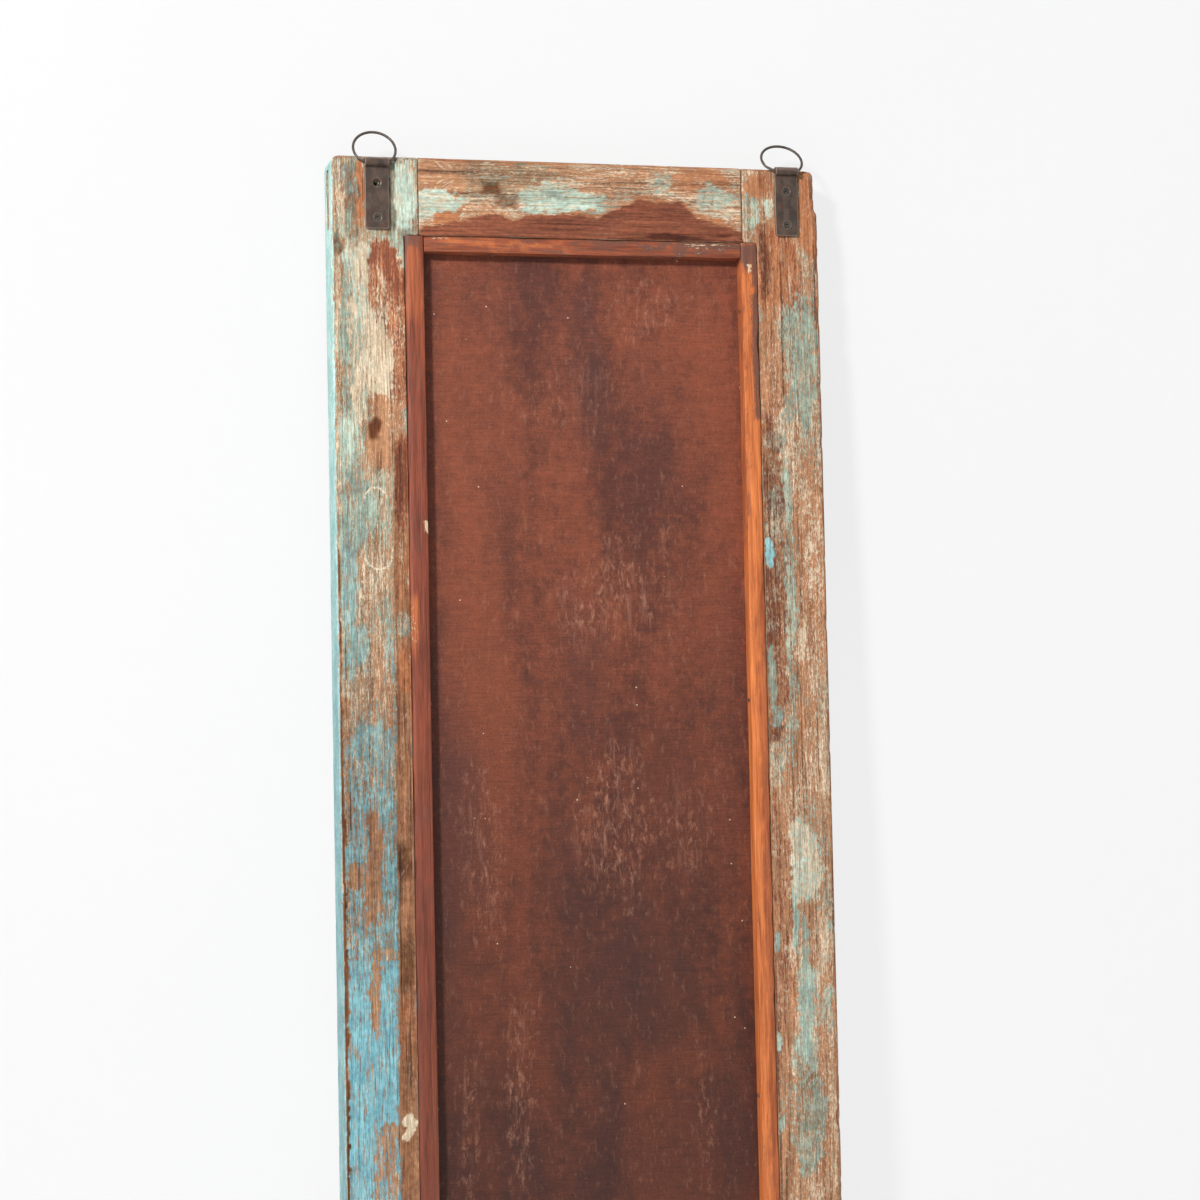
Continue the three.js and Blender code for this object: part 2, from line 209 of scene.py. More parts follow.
def addCamera():
    azimuth, elevation, roll = (math.radians(view[key]) for key in ("azimuth", "elevation", "roll"))
    forward = Vector((
        -math.sin(azimuth) * math.cos(elevation),
        math.cos(azimuth) * math.cos(elevation),
        -math.sin(elevation),
    ))
    side = forward.cross(Vector((0, 0, 1))).normalized()
    above = side.cross(forward)
    right = side * math.cos(roll) + above * math.sin(roll)
    up = -side * math.sin(roll) + above * math.cos(roll)
    data = bpy.data.cameras.new("camera")
    data.lens = view["lens"]
    data.sensor_width = view["sensor"]
    camera = bpy.data.objects.new("camera", data)
    turn = Matrix((right, up, -forward)).transposed().to_4x4()
    camera.matrix_world = Matrix.Translation(view["place"]) @ turn
    scene.collection.objects.link(camera)
    scene.camera = camera


addCamera()

lamps = [
    {"name": "key", "toward": (0.78, 1.0, 0.62), "distance": 3.2, "size": 0.4, "power": 100,
     "tint": (1.0, 0.975, 0.94)},
    {"name": "frontFill", "toward": (-0.8, -1.0, 0.9), "distance": 3.2, "size": 1.6, "power": 60,
     "tint": (1.0, 1.0, 1.0)},
]
lampAim = Vector((0, 0, 0.7))


def addLamp(lamp):
    data = bpy.data.lights.new(lamp["name"], "AREA")
    data.shape = "DISK"
    data.size = lamp["size"]
    data.energy = lamp["power"]
    data.color = lamp["tint"]
    item = bpy.data.objects.new(lamp["name"], data)
    toward = Vector(lamp["toward"]).normalized()
    item.location = lampAim + toward * lamp["distance"]
    item.rotation_euler = toward.to_track_quat("Z", "Y").to_euler()
    scene.collection.objects.link(item)


for lamp in lamps:
    addLamp(lamp)

skyLevel = {"ambient": 0.36, "seen": 1.0}


def seenRays(tree):
    path = put("ShaderNodeLightPath", {}, tree).outputs
    seen = larger(path["Is Camera Ray"], path["Is Glossy Ray"])
    return larger(seen, path["Is Transmission Ray"])


def setSky():
    world = bpy.data.worlds.new("studio")
    world.use_nodes = True
    scene.world = world
    span = skyLevel["seen"] - skyLevel["ambient"]
    level = timesPlus(seenRays(world.node_tree), span, skyLevel["ambient"])
    connect(world.node_tree.nodes["Background"], {"Strength": level, "Color": white})


setSky()


def addSheet(name, corners, material):
    mesh = bpy.data.meshes.new(name)
    mesh.from_pydata(corners, [], [(0, 1, 2, 3)])
    mesh.materials.append(material)
    sheet = bpy.data.objects.new(name, mesh)
    scene.collection.objects.link(sheet)


floor = {"bump": (0.1, 1), "roughness": 0.9, "halfWidth": 4, "plainWithin": 1.3, "whiteBeyond": 2.8}


# The floor takes shadows near the mirror and fades into the white background farther out.
def addFloor():
    material, tree, shader = newMaterial("pale floor")
    place = objectPlace(tree)
    finish(shader, floor, rgb(240, 240, 240), floor["roughness"], noise(place, 60, 4.0))
    faded = fade(lengthOf(place), floor["plainWithin"], floor["whiteBeyond"])
    bright = put("ShaderNodeEmission", {}, tree)
    blendShaders(times(faded, seenRays(tree)), shader, bright)
    wide = floor["halfWidth"]
    addSheet("floor", [(-wide, -wide, 0), (wide, -wide, 0), (wide, wide, 0), (-wide, wide, 0)], material)


addFloor()

wall = {
    "bump": (0.15, 1), "roughness": 0.95, "glow": 0.745, "plain": {"Emission Color": white},
    "foot": -0.104, "top": -0.0205, "topHeight": 1.2, "low": 0.001, "height": 2.2, "halfWidth": 2.5,
}


# The wall is seen from its own side only, and keeps the shadow that falls on it.
def addWall():
    material, tree, shader = newMaterial("pale wall")
    place = objectPlace(tree)
    broad, fine = noise(place, 1.4, 2.0), noise(place, 60, 4.0)
    glow = timesPlus(broad, 0.05, timesPlus(fine, 0.01, wall["glow"]))
    connect(shader, {"Emission Strength": glow})
    finish(shader, wall, rgb(97, 98, 100), wall["roughness"], fine)
    path = put("ShaderNodeLightPath", {}, tree)
    side = put("ShaderNodeNewGeometry", {}, tree)
    front = calc("SUBTRACT", 1.0, side.outputs["Backfacing"])
    clear = put("ShaderNodeBsdfTransparent", {}, tree)
    blendShaders(times(front, path.outputs["Is Camera Ray"]), clear, shader)
    foot, low, high, wide = (wall[key] for key in ("foot", "low", "height", "halfWidth"))
    slope = (wall["top"] - foot) / wall["topHeight"]
    upper = foot + slope * high
    corners = [(wide, foot, low), (-wide, foot, low), (-wide, upper, high), (wide, upper, high)]
    addSheet("wall", corners, material)


addWall()
print("camera, lamps, floor and wall are set")


def latticeValues(cell, seed):
    mixed = cell @ np.array((73856093, 19349663, 83492791)) + seed * 374761393
    mixed = (mixed ^ (mixed >> 13)) * 1274126177
    return ((mixed ^ (mixed >> 16)) & 65535) / 65535


# Smooth noise from 0 to 1. The size may differ along each axis.
def pointNoise(points, size, seed):
    scaled = points / size
    cell = np.floor(scaled).astype(np.int64)
    local = scaled - cell
    local = local * local * (3 - 2 * local)
    total = np.zeros(len(points))
    for corner in range(8):
        step = np.array((corner & 1, corner >> 1 & 1, corner >> 2 & 1))
        weight = np.where(step, local, 1 - local).prod(axis=1)
        total += weight * latticeValues(cell + step, seed)
    return total


def layeredNoise(points, size, seed, layers=3):
    size = np.array(size, float)
    total = sum(pointNoise(points, size / 2 ** step, seed + step) / 2 ** step for step in range(layers))
    return total / sum(1 / 2 ** step for step in range(layers))


# Layered noise about zero, and a pair of it that bends the outlines of patches.
def drift(points, size, seed, reach, layers=3):
    return (layeredNoise(points, size, seed, layers) - 0.5) * reach


def wobbleOf(points, size, seed):
    return [2 * layeredNoise(points, size, seed + axis) - 1 for axis in range(2)]


def between(value, low, high):
    part = np.clip((value - low) / (high - low), 0, 1)
    return part * part * (3 - 2 * part)


grainShift = 0.37  # how far each seed moves a member through the noise, m
stileRightSeed = 11
scratchShift = stileRightSeed * grainShift
curvedScratches = [
    {"Centre": (168 * mm + scratchShift, 0, 928 * mm + scratchShift), "Radius": 0.0085, "Upward": 1},
    {"Centre": (166 * mm + scratchShift, 0, 883 * mm + scratchShift), "Radius": 0.0105, "Upward": -1},
]

# Layers: paint, cream undercoat, red stain, orange bare wood. Tones: blue, pale, grime, streaks, cut (mm).
paintLayers = ("paint", "cream", "stain", "orange")
paintTones = ("blue", "pale", "grime", "streaks")


# A worn place: its middle, half sizes and turn in degrees, how soft its rim is, and what it sets there.
def patch(x, z, halfWidth, halfHeight, turn=0, soft=0.3, **sets):
    return x, z, halfWidth, halfHeight, math.radians(turn), soft, sets


stileRightPatches = [
    patch(187, 1178, 7, 14, paint=0.82, blue=0.35, cream=0.4, grime=0.3),
    patch(183, 1160, 5, 34, paint=0.62, cream=0.2, grime=0.45),
    patch(194, 1175, 3, 20, paint=0.25, orange=0.8, cream=0.5),
    patch(176, 1170, 3, 27, paint=0, cream=0.1, orange=1, streaks=0.8),
    patch(196, 1129, 4, 10, paint=0.4, grime=0.7, soft=0.9),
    patch(143, 1170, 10, 26, paint=0.8, pale=0.75, cream=0.9, grime=0.1),
    patch(152, 1165, 4, 30, paint=0.7, pale=0.2, grime=0.6),
    patch(180, 1112, 12, 22, turn=8, cream=0.95, paint=0.35, pale=0.6, streaks=0.7),
    patch(152, 1103, 13, 26, turn=24, paint=0, cream=0.12, orange=0.95, stain=0.55, streaks=0.9, cut=0.5),
    patch(161, 1082, 9, 26, turn=10, paint=0, cream=0.3, orange=0.9, stain=0.4, streaks=1, cut=0.4),
    patch(147, 1045, 7, 46, paint=0, cream=0.3, orange=0.95, stain=0.45, streaks=1),
    patch(162, 1035, 10, 42, turn=4, cream=0.86, paint=0.1, pale=0.6, orange=0.6, streaks=1),
    patch(196, 1062, 4, 62, paint=0.25, cream=0.4, orange=0.35, blue=0),
    patch(189, 1060, 4, 60, paint=0.75, cream=0.3, blue=0.1, grime=0.2),
    patch(179, 1050, 8, 54, cream=0.8, paint=0.3, streaks=1, orange=0.3),
    patch(160, 978, 12, 30, paint=0, cream=0.22, orange=0.55, streaks=0.5),
    patch(168, 982, 4.5, 9, grime=0.85, paint=0, cream=0, cut=0.3, soft=0.7),
    patch(189, 973, 8, 17, paint=0.95, pale=0.35, cream=0.5),
    patch(184, 918, 13, 32, paint=0.78, cream=0.3, grime=0.35, blue=0.25),
    patch(163, 918, 10, 32, paint=0.48, cream=0.35, grime=0.2, streaks=1),
    patch(190, 861, 6, 38, paint=0.85, blue=0.45, streaks=1),
    patch(170, 858, 13, 42, paint=0.28, cream=0.4, streaks=1, orange=0.3),
    patch(184, 813, 8, 16, paint=0.82, blue=0.45, streaks=0.9),
    patch(158, 800, 4, 22, paint=0.8, blue=0.4, streaks=0.9),
    patch(175, 768, 21, 20, paint=0.24, cream=0.3, streaks=1),
    patch(175, 722, 21, 30, paint=0.6, blue=0.7, streaks=1),
    patch(176, 640, 22, 62, paint=0.68, blue=0.85, streaks=1, cream=0.1),
    patch(174, 642, 6, 44, paint=0.16, streaks=1),
    patch(188, 634, 5, 10, paint=0.2),
    patch(178, 470, 23, 105, paint=0.93, blue=1, streaks=0.75, cream=0.1),
    patch(166, 574, 12, 6, paint=0.3),
    patch(174, 545, 4, 36, paint=0.22, streaks=1),
    patch(167, 424, 10, 20, paint=0.4, streaks=1),
    patch(166, 392, 11, 16, paint=0.32, streaks=1),
    patch(195.5, 766, 3.5, 10, paint=0, cream=0, cut=0.5),
    patch(196.5, 536, 2.5, 34, paint=0, cream=0.1, grime=0.6, cut=0.6),
    patch(198.2, 540, 1.5, 330, paint=0, cream=0.1, grime=0.85, cut=0.4),
    # Painted shade: stain and grime darken the wood seen through the strap's upper screw hole, standing in
    # for the shade inside the hole.
    patch(163.5, 1176, 7, 9, paint=0, cream=0, stain=1.1, grime=1.1),
]

stileLeftPatches = [
    patch(-191, 1160, 8, 40, paint=0.05, cream=0.15, orange=1, streaks=0.8),
    patch(-199, 1187, 3, 10, paint=0.8, blue=0.5, cut=0.6),
    patch(-143, 1163, 8, 18, paint=0.5, cream=0.4, orange=0.6),
    patch(-159, 1166, 4, 8, paint=0.6, pale=0.4, cream=0.6),
    patch(-150, 1185, 12, 9, paint=0.05, orange=0.8, cream=0.1),
    patch(-165, 1105, 18, 44, paint=0.08, cream=0.15, orange=0.95, stain=0.3, streaks=0.9),
    patch(-154, 1120, 4, 26, stain=0.6, grime=0.55, soft=1.0),
    patch(-188, 1100, 8, 30, paint=0.3, cream=0.3, orange=0.6),
    patch(-181, 1040, 15, 52, paint=0.62, cream=0.45, grime=0.25, orange=0.4, streaks=0.8),
    patch(-158, 1040, 9, 40, paint=0.12, cream=0.25, orange=0.7, stain=0.25),
    patch(-156, 870, 11, 138, paint=0.18, cream=0.24, stain=0.5, grime=0.4, streaks=0.1),
    patch(-161, 975, 10, 8, cream=0.75, paint=0.3, streaks=0),
    patch(-158, 918, 10, 20, cream=0.55, paint=0.35, streaks=0),
    patch(-152.5, 886, 3.2, 11, paint=1, blue=1, pale=0.35, cream=0, stain=0, grime=0),
    patch(-156, 853, 4, 5, cream=0.6, paint=0.3, pale=0.6, streaks=0, soft=0.9),
    patch(-156, 826, 8, 5, cream=0.6, streaks=0, soft=0.9),
    patch(-151.5, 787, 3, 28, paint=0.85, pale=0.2, stain=0, streaks=0.3),
    patch(-156, 754, 6, 8, paint=0.7, blue=0.4, stain=0),
    patch(-168, 850, 4, 118, paint=0.62, cream=0.4, streaks=0.7, grime=0.3),
    patch(-186, 860, 12, 100, paint=0.08, cream=0.36, orange=0.7, streaks=0.6),
    patch(-190, 875, 8, 34, cream=0.5, orange=0.9, streaks=0.2),
    patch(-173, 637, 15, 32, cream=0.82, paint=0.42, pale=0.5, streaks=0.4),
    patch(-166, 586, 2.5, 26, paint=0.9, pale=0.2, streaks=0.6),
    patch(-174, 567, 3, 24, paint=0.85, streaks=0.7),
    patch(-174, 511, 9, 37, paint=0.93, blue=0.15, pale=0.15, streaks=0.4),
    patch(-181, 515, 2.5, 34, paint=0.5, cream=0.6),
    patch(-191, 518, 5, 18, paint=0.55, cream=0.5, streaks=0.8),
    patch(-174, 436, 13, 46, paint=0.58, cream=0.4, grime=0.3, streaks=0.3),
    patch(-153, 580, 9, 110, paint=0.1, cream=0.2, stain=0.4, orange=0.5, streaks=0.2),
    patch(-151, 573, 3, 9, paint=0.9, blue=0.3, stain=0),
    patch(-150, 494, 2.5, 7, paint=0.9, pale=0.2, stain=0),
    patch(-150, 428, 3, 7, paint=0.85, pale=0.2, stain=0),
]

railTopPatches = [
    patch(110, 1182, 23, 15, paint=0.05, cream=0.2, orange=0.55, streaks=0.7),
    patch(74, 1194, 3, 4, paint=0.9, blue=0.3),
    patch(122, 1162, 30, 12, turn=-6, paint=0.75, pale=0.6, cream=0.9, streaks=0.4),
    patch(107, 1153, 10, 5, paint=0, cream=0, orange=1),
    patch(83, 1158, 16, 5, paint=0.05, cream=0.3, orange=0.6),
    patch(56, 1183, 38, 15, paint=0.22, cream=0.3, grime=0.35, streaks=1, orange=0.2),
    patch(70, 1175, 8, 6, grime=0.8, paint=0.3, cream=0.1, soft=0.8),
    patch(60, 1166, 9, 5, grime=0.6, paint=0.45, cream=0.2, soft=0.9),
    patch(14, 1171, 34, 14, paint=0.68, cream=0.5, streaks=0.8, grime=0.1),
    patch(15, 1162, 34, 3.5, paint=0.9, pale=0.6, cream=0.7),
    patch(-30, 1186, 42, 11, paint=0.08, cream=0.3, orange=0.6, streaks=1),
    patch(-69, 1184, 11, 8, paint=0.5, cream=0.3, streaks=0.6),
    patch(-100, 1184, 24, 12, paint=0.08, orange=0.8, cream=0.2, streaks=0.8),
    patch(-113, 1165, 16, 18, turn=-20, paint=0.52, cream=0.4, pale=0.2, streaks=0.6, orange=0.7),
]


# Grain runs along the vector's Z. Streaks are broad, fibres fine, and cracks are thin dark lines.
def makeGrainGroup():
    names = ("Streaks", "Fibres", "Cracks")
    tree, given, result = newGroup("wood grain", {"Place": None, "Coarseness": 1.0}, names)
    place, coarse = given["Place"], given["Coarseness"]
    bent = warp(place, noise(stretch(place, 40, 8), 1.0, 2.0), 0.0035)
    streaks = noise(stretch(bent, 240, 11), coarse, 4.0, 0.6)
    fibres = noise(stretch(bent, 800, 36), coarse, 3.0, 0.6)
    lines = noise(stretch(bent, 420, 8, (3, 5, 7)), coarse, 2.0, 0.5)
    streaks, fibres, cracks = fade(streaks, 0.3, 0.7), fade(fibres, 0.3, 0.7), fade(lines, 0.6, 0.72)
    connect(result, {"Streaks": streaks, "Fibres": fibres, "Cracks": cracks})
    return tree


# A layer of paint that holds on in flakes: Amount 0 is none, 1 is all of it.
def makeFlakeGroup():
    inputs = {"Place": None, "Amount": 0.5, "Streakiness": 0.5, "Softness": 0.1}
    tree, given, result = newGroup("flaking layer", inputs, ("Mask", "Rim"))
    place, soft = given["Place"], given["Softness"]
    blotch = noise(place, 230, 5.0, 0.68, 0.4)
    lines = noise(stretch(place, 560, 44), 1.0, 4.0, 0.62)
    flecks = noise(stretch(place, 1100, 260), 1.0, 3.0, 0.7)
    broad = noise(stretch(place, 70, 22), 1.0, 3.0)
    mixed = {0: given["Streakiness"], 2: blotch, 3: lines}
    mixed = put("ShaderNodeMix", mixed, data_type="FLOAT").outputs[0]
    field = timesPlus(flecks, 0.38, timesPlus(broad, 0.2, times(mixed, 0.42)))
    over = calc("SUBTRACT", timesPlus(given["Amount"], 1.3, -0.15), fade(field, 0.4, 0.6))
    mask = fade(over, times(soft, -1.0), soft)
    connect(result, {"Mask": mask, "Rim": fade(calc("ABSOLUTE", over), soft, 0.0)})
    return tree


# Fine grit over the whole surface: mottling, pale flecks and dark pores along the grain.
def makeGritGroup():
    tree, given, result = newGroup("grit", {"Place": None}, ("Mottle", "Flecks", "Pores"))
    place = given["Place"]
    mottle = fade(noise(stretch(place, 460, 240), 1.0, 4.0, 0.7), 0.34, 0.66)
    flecks = fade(noise(stretch(place, 1100, 380, (5, 2, 8)), 1.0, 3.0, 0.65), 0.54, 0.64)
    pores = fade(noise(stretch(place, 820, 66, (1, 6, 3)), 1.0, 3.0, 0.65), 0.52, 0.62)
    connect(result, {"Mottle": mottle, "Flecks": flecks, "Pores": pores})
    return tree


# Thin pale scratches in two directions, and small specks.
def makeScuffGroup():
    tree, given, result = newGroup("scuffs", {"Place": None, "Size": 1.0}, ("Scratches", "Specks"))
    place = given["Place"]
    thin = []
    for turn, offset in ((0.45, 1.0), (-0.7, 4.0)):
        tilt = {"Vector": place, "Rotation": (0.0, turn, 0.0), "Location": (offset, 0.0, offset)}
        tilted = put("ShaderNodeMapping", tilt).outputs[0]
        moved = warp(tilted, noise(tilted, 30, 2.0), 0.02)
        thin.append(fade(noise(stretch(moved, 420, 30), given["Size"], 2.0, 0.5), 0.68, 0.74))
    spots = put("ShaderNodeTexVoronoi", {"Vector": place, "Scale": 120.0, "Randomness": 1.0}).outputs
    small = fade(spots["Distance"], 0.085, 0.05)
    specks = times(small, fade(separate(spots["Color"])[0], 0.9, 0.93))
    zone = fade(noise(place, 22, 2.0), 0.52, 0.62)
    connect(result, {"Scratches": times(larger(*thin), zone), "Specks": specks})
    return tree


# One curved scratch: part of a ring about Centre, broken up along its length.
def makeArcGroup():
    inputs = {"Place": None, "Centre": None, "Radius": 0.008, "Upward": 1.0}
    tree, given, result = newGroup("curved scratch", inputs, ("Mask",))
    place = given["Place"]
    away = vectorMath("SUBTRACT", place, given["Centre"])[0]
    flat = vectorMath("MULTIPLY", away, (1, 0, 1))[0]
    ripple = timesPlus(noise(place, 160, 2.0), 0.003, -0.0015)
    far = calc("ADD", lengthOf(flat), ripple)
    off = calc("ABSOLUTE", calc("SUBTRACT", far, given["Radius"]))
    half = fade(times(heightOf(flat), given["Upward"]), -0.002, 0.001)
    broken = fade(noise(place, 700, 3.0, 0.7), 0.4, 0.52)
    connect(result, {"Mask": times(times(fade(off, 0.0011, 0.0004), half), broken)})
    return tree


grainGroup = makeGrainGroup()
arcGroup = makeArcGroup()
flakeGroup = makeFlakeGroup()
gritGroup = makeGritGroup()
scuffGroup = makeScuffGroup()


frameLook = {"bump": (0.8, 0.5), "plain": {"Specular IOR Level": 0.25}}
frameColors = {
    "weatheredDark": (108, 82, 62), "weatheredLight": (188, 154, 120),
    "orangeDark": (134, 78, 50), "orangeLight": (204, 138, 94),
    "crack": (70, 48, 38),
    "creamDark": (188, 172, 144), "creamLight": (232, 220, 196),
    "greenDark": (128, 150, 136), "greenLight": (182, 202, 182),
    "blueDark": (92, 164, 182), "blueLight": (132, 196, 208),
    "paleDark": (180, 208, 196), "paleLight": (214, 234, 220),
    # side: the palest blue, partly painted light for the brightly lit outer side face.
    "sideDark": (160, 216, 214), "sideLight": (206, 242, 238),
    "stainDark": (76, 36, 26), "stainLight": (140, 70, 48),
    "grime": (150, 122, 100), "rimDirtAndShade": (104, 74, 54),
}


def makeFrameMaterial():
    material, tree, shader = newMaterial("worn turquoise paint on old wood")
    colors = palette(frameColors)
    layers, tones = attribute(tree, "layers"), attribute(tree, "tones")
    paint, cream, stain = separate(layers["Color"])
    orange = layers["Alpha"]
    blue, pale, grime = separate(tones["Color"])
    streakiness = tones["Alpha"]
    place = attribute(tree, "grainPlace")["Vector"]
    streaks, fibres, cracks = useGroup(grainGroup, {"Place": place, "Coarseness": 1.0})
    mottle, flecks, pores = useGroup(gritGroup, {"Place": place})
    fine = timesPlus(fibres, 0.5, times(streaks, 0.5))

    def flakes(amount, softness, offset, streaky=streakiness):
        moved = stretch(place, 1, 1, (offset, offset, offset))
        given = {"Place": moved, "Amount": amount, "Streakiness": streaky, "Softness": softness}
        return useGroup(flakeGroup, given)

    wood = mixColor(orange, shades(colors, "weathered", fine), shades(colors, "orange", fine))
    wood = coat(wood, cracks, 0.75, colors["crack"])

    scattered = times(flecks, fade(cream, 0.1, 0.5, 0.0, 0.75))
    creamMask = larger(times(flakes(cream, 0.2, 1.3)["Mask"], 0.8), scattered)
    color = mixColor(creamMask, wood, shades(colors, "cream", fibres))

    paintMask, paintRim = flakes(paint, 0.2, 2.7)
    tint = fade(timesPlus(fibres, 0.3, noise(place, 45, 4.0)), 0.45, 0.9)
    light = mixColor(fade(blue, 0.5, 0.8), shades(colors, "pale", tint), shades(colors, "side", tint))
    strong = mixColor(blue, shades(colors, "green", tint), shades(colors, "blue", tint))
    worn = times(pores, fade(paint, 0.92, 1.08, 0.75, 0.1))
    paintMask = times(paintMask, calc("SUBTRACT", 0.88, worn))
    color = mixColor(paintMask, color, mixColor(pale, strong, light))
    # Flake rims darken: partly dirt gathered at the paint's edge, partly painted shade along the step.
    color = coat(color, paintRim, 0.16, colors["rimDirtAndShade"])

    stainMask = times(flakes(stain, 0.3, 4.1, 0.8)["Mask"], 0.85)
    color = mixColor(stainMask, color, shades(colors, "stain", fine))

    dirt = fade(timesPlus(noise(place, 160, 5.0, 0.7), 0.8, grime), 0.45, 1.3)
    color = mixColor(dirt, color, colors["grime"], "MULTIPLY")
    color = dim(color, fade(mottle, 0, 1, 0.84, 1.12))
    scratch = times(useGroup(scuffGroup, {"Place": place, "Size": 1.0})["Scratches"], 0.3)
    for arc in curvedScratches:
        scratch = larger(scratch, times(useGroup(arcGroup, {"Place": place, **arc})["Mask"], 0.7))
    color = mixColor(scratch, color, colors["creamLight"])

    roughness = calc("SUBTRACT", fade(paintMask, 0, 1, 0.82, 0.6), times(stainMask, 0.25))
    height = timesPlus(paintMask, 0.5, times(creamMask, 0.25))
    for part, share in ((fine, 0.6), (cracks, -1.2), (mottle, 0.3)):
        height = timesPlus(part, share, height)
    finish(shader, frameLook, color, roughness, height)
    return material


frameMaterial = makeFrameMaterial()


frameSize = {"halfWidth": 200, "height": 1200, "halfDepth": 18, "cornerRadius": 8}
frameVoxel = 1.6
railStainEdge = [  # (x, z) of the upper edge of the red stain on the top rail
    (-140, 1143), (-132.6, 1144.6), (-117.7, 1150.8), (-99.4, 1156), (-83.8, 1167.9), (-49, 1169.5),
    (-28.1, 1160), (-14.7, 1152.4), (-0.9, 1156.9), (42.5, 1154.3), (51.5, 1150.8), (67.7, 1156.1),
    (98.5, 1148.9), (124.3, 1144.3), (131, 1141),
]

# A ledge is the lower, bare strip beside a bead: (z, x) of its edge, its top and what it sets there.
members = [
    {
        "node": "stile_right", "alongX": False, "seed": stileRightSeed, "patches": stileRightPatches,
        "base": {"paint": 0.42, "cream": 0.35, "orange": 0.3, "blue": 0.15, "streaks": 0.8, "grime": 0.15},
        "edgeBare": 0.5, "chips": 1.0,
        "ledge": [(460, 156.7), (692, 154.8), (848, 153.6), (950, 152.7), (985, 152)],
        "ledgeTop": 972,
        "ledgeLayers": {"paint": 0.03, "cream": 0.1, "orange": 0.5, "stain": 0.2, "grime": 0.42},
        "ledgePatches": [
            patch(147, 948, 7, 42, stain=0.75, orange=0.8),
            patch(148, 879, 6, 34, orange=0.75, cream=0.2),
            patch(148, 829, 5, 10, paint=0.5, cream=0.5, grime=0.4),
            patch(147, 793, 6, 18, orange=1, cream=0.1),
            patch(150, 646, 5, 13, grime=0.8, orange=0.2, soft=0.9),
            patch(149, 564, 6, 22, grime=0.75, orange=0.2, soft=0.9),
            patch(150, 515, 6, 24, orange=0.8, stain=0.2),
            patch(150, 445, 5, 4, turn=30, cream=1.1, paint=0, grime=0, streaks=0.3),
            patch(148, 437, 3, 9, turn=-30, cream=1.1, paint=0, grime=0, streaks=0.3),
        ],
    },
    {
        "node": "stile_left", "alongX": False, "seed": 23, "patches": stileLeftPatches,
        "base": {"paint": 0.2, "cream": 0.34, "orange": 0.55, "blue": 0.1, "streaks": 0.55, "grime": 0.15},
        "edgeBare": 1.0, "chips": 1.3, "notch": (1161, 2.4),
        "ledge": [(448, -161.6), (606, -164.1), (750, -165.2), (952, -168.5), (985, -168.5)],
        "ledgeTop": 965,
    },
    {
        "node": "rail_top", "alongX": True, "seed": 37, "patches": railTopPatches,
        "base": {"paint": 0.3, "cream": 0.34, "orange": 0.5, "blue": 0.1, "streaks": 0.8, "grime": 0.15},
        "edgeBare": 0.8, "chips": 1.0, "stainEdge": railStainEdge,
    },
    {
        "node": "rail_bottom", "alongX": True, "seed": 51, "patches": [],
        "base": {"paint": 0.5, "cream": 0.34, "orange": 0.4, "blue": 0.6, "streaks": 0.8, "grime": 0.2},
        "edgeBare": 0.8, "chips": 1.0,
    },
]


def readVertices(mesh, key):
    values = np.empty(len(mesh.vertices) * 3)
    mesh.vertices.foreach_get(key, values)
    return values.reshape(-1, 3)


def writeLayer(mesh, name, kind, key, values):
    layer = mesh.attributes.new(name, kind, "POINT")
    layer.data.foreach_set(key, values.astype(np.float32).ravel())


def writeColors(mesh, name, fields, keys):
    columns = [np.clip(fields[key], 0, 1.1) for key in keys]
    writeLayer(mesh, name, "FLOAT_COLOR", "color", np.column_stack(columns))


def writeGrain(mesh, grainPoints, shift):
    writeLayer(mesh, "grainPlace", "FLOAT_VECTOR", "vector", grainPoints * mm + shift)


def dress(item, material):
    item.data.materials.clear()
    item.data.materials.append(material)


def addPiece(name, mesh, material, body="frame", stands=()):
    piece = bpy.data.objects.new(name, mesh)
    dress(piece, material)
    scene.collection.objects.link(piece)
    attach(piece, body)
    if stands:
        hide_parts(*stands)


def editMesh(mesh, change):
    work = bmesh.new()
    work.from_mesh(mesh)
    change(work)
    work.to_mesh(mesh)
    work.free()
    return mesh


# A closed copy of a CAD node, with its loose triangles joined at their corners.
def joinedCopy(node):
    def join(work):
        bmesh.ops.remove_doubles(work, verts=work.verts, dist=0.002 * mm)
    return editMesh(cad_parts[node].data.copy(), join)


def modifiedMesh(mesh, kind, **settings):
    helper = bpy.data.objects.new("helper", mesh)
    scene.collection.objects.link(helper)
    modifier = helper.modifiers.new("helper", kind)
    for name, value in settings.items():
        setattr(modifier, name, value)
    graph = bpy.context.evaluated_depsgraph_get()
    result = bpy.data.meshes.new_from_object(helper.evaluated_get(graph))
    bpy.data.objects.remove(helper)
    return result


# The same solid with an even mesh all over, fine enough to carry wear.
def evenCopy(node, voxel):
    size = voxel * mm
    return modifiedMesh(joinedCopy(node), "REMESH", mode="VOXEL", voxel_size=size, use_smooth_shade=True)


# The points with their last axis along the grain.
def grainAxes(points, alongX):
    x, y, z = points.T
    return np.column_stack((z, y, x) if alongX else (x, y, z))


def setBase(count, base):
    fields = {name: np.full(count, float(base.get(name, 0))) for name in paintLayers + paintTones}
    fields["cut"] = np.zeros(count)
    return fields


def blend(fields, values, mask):
    for name, value in values.items():
        fields[name] += (value - fields[name]) * mask


patchRim = {"short": 0.4, "long": 0.25, "least": 1.2}  # how far its outline wanders, mm and shares


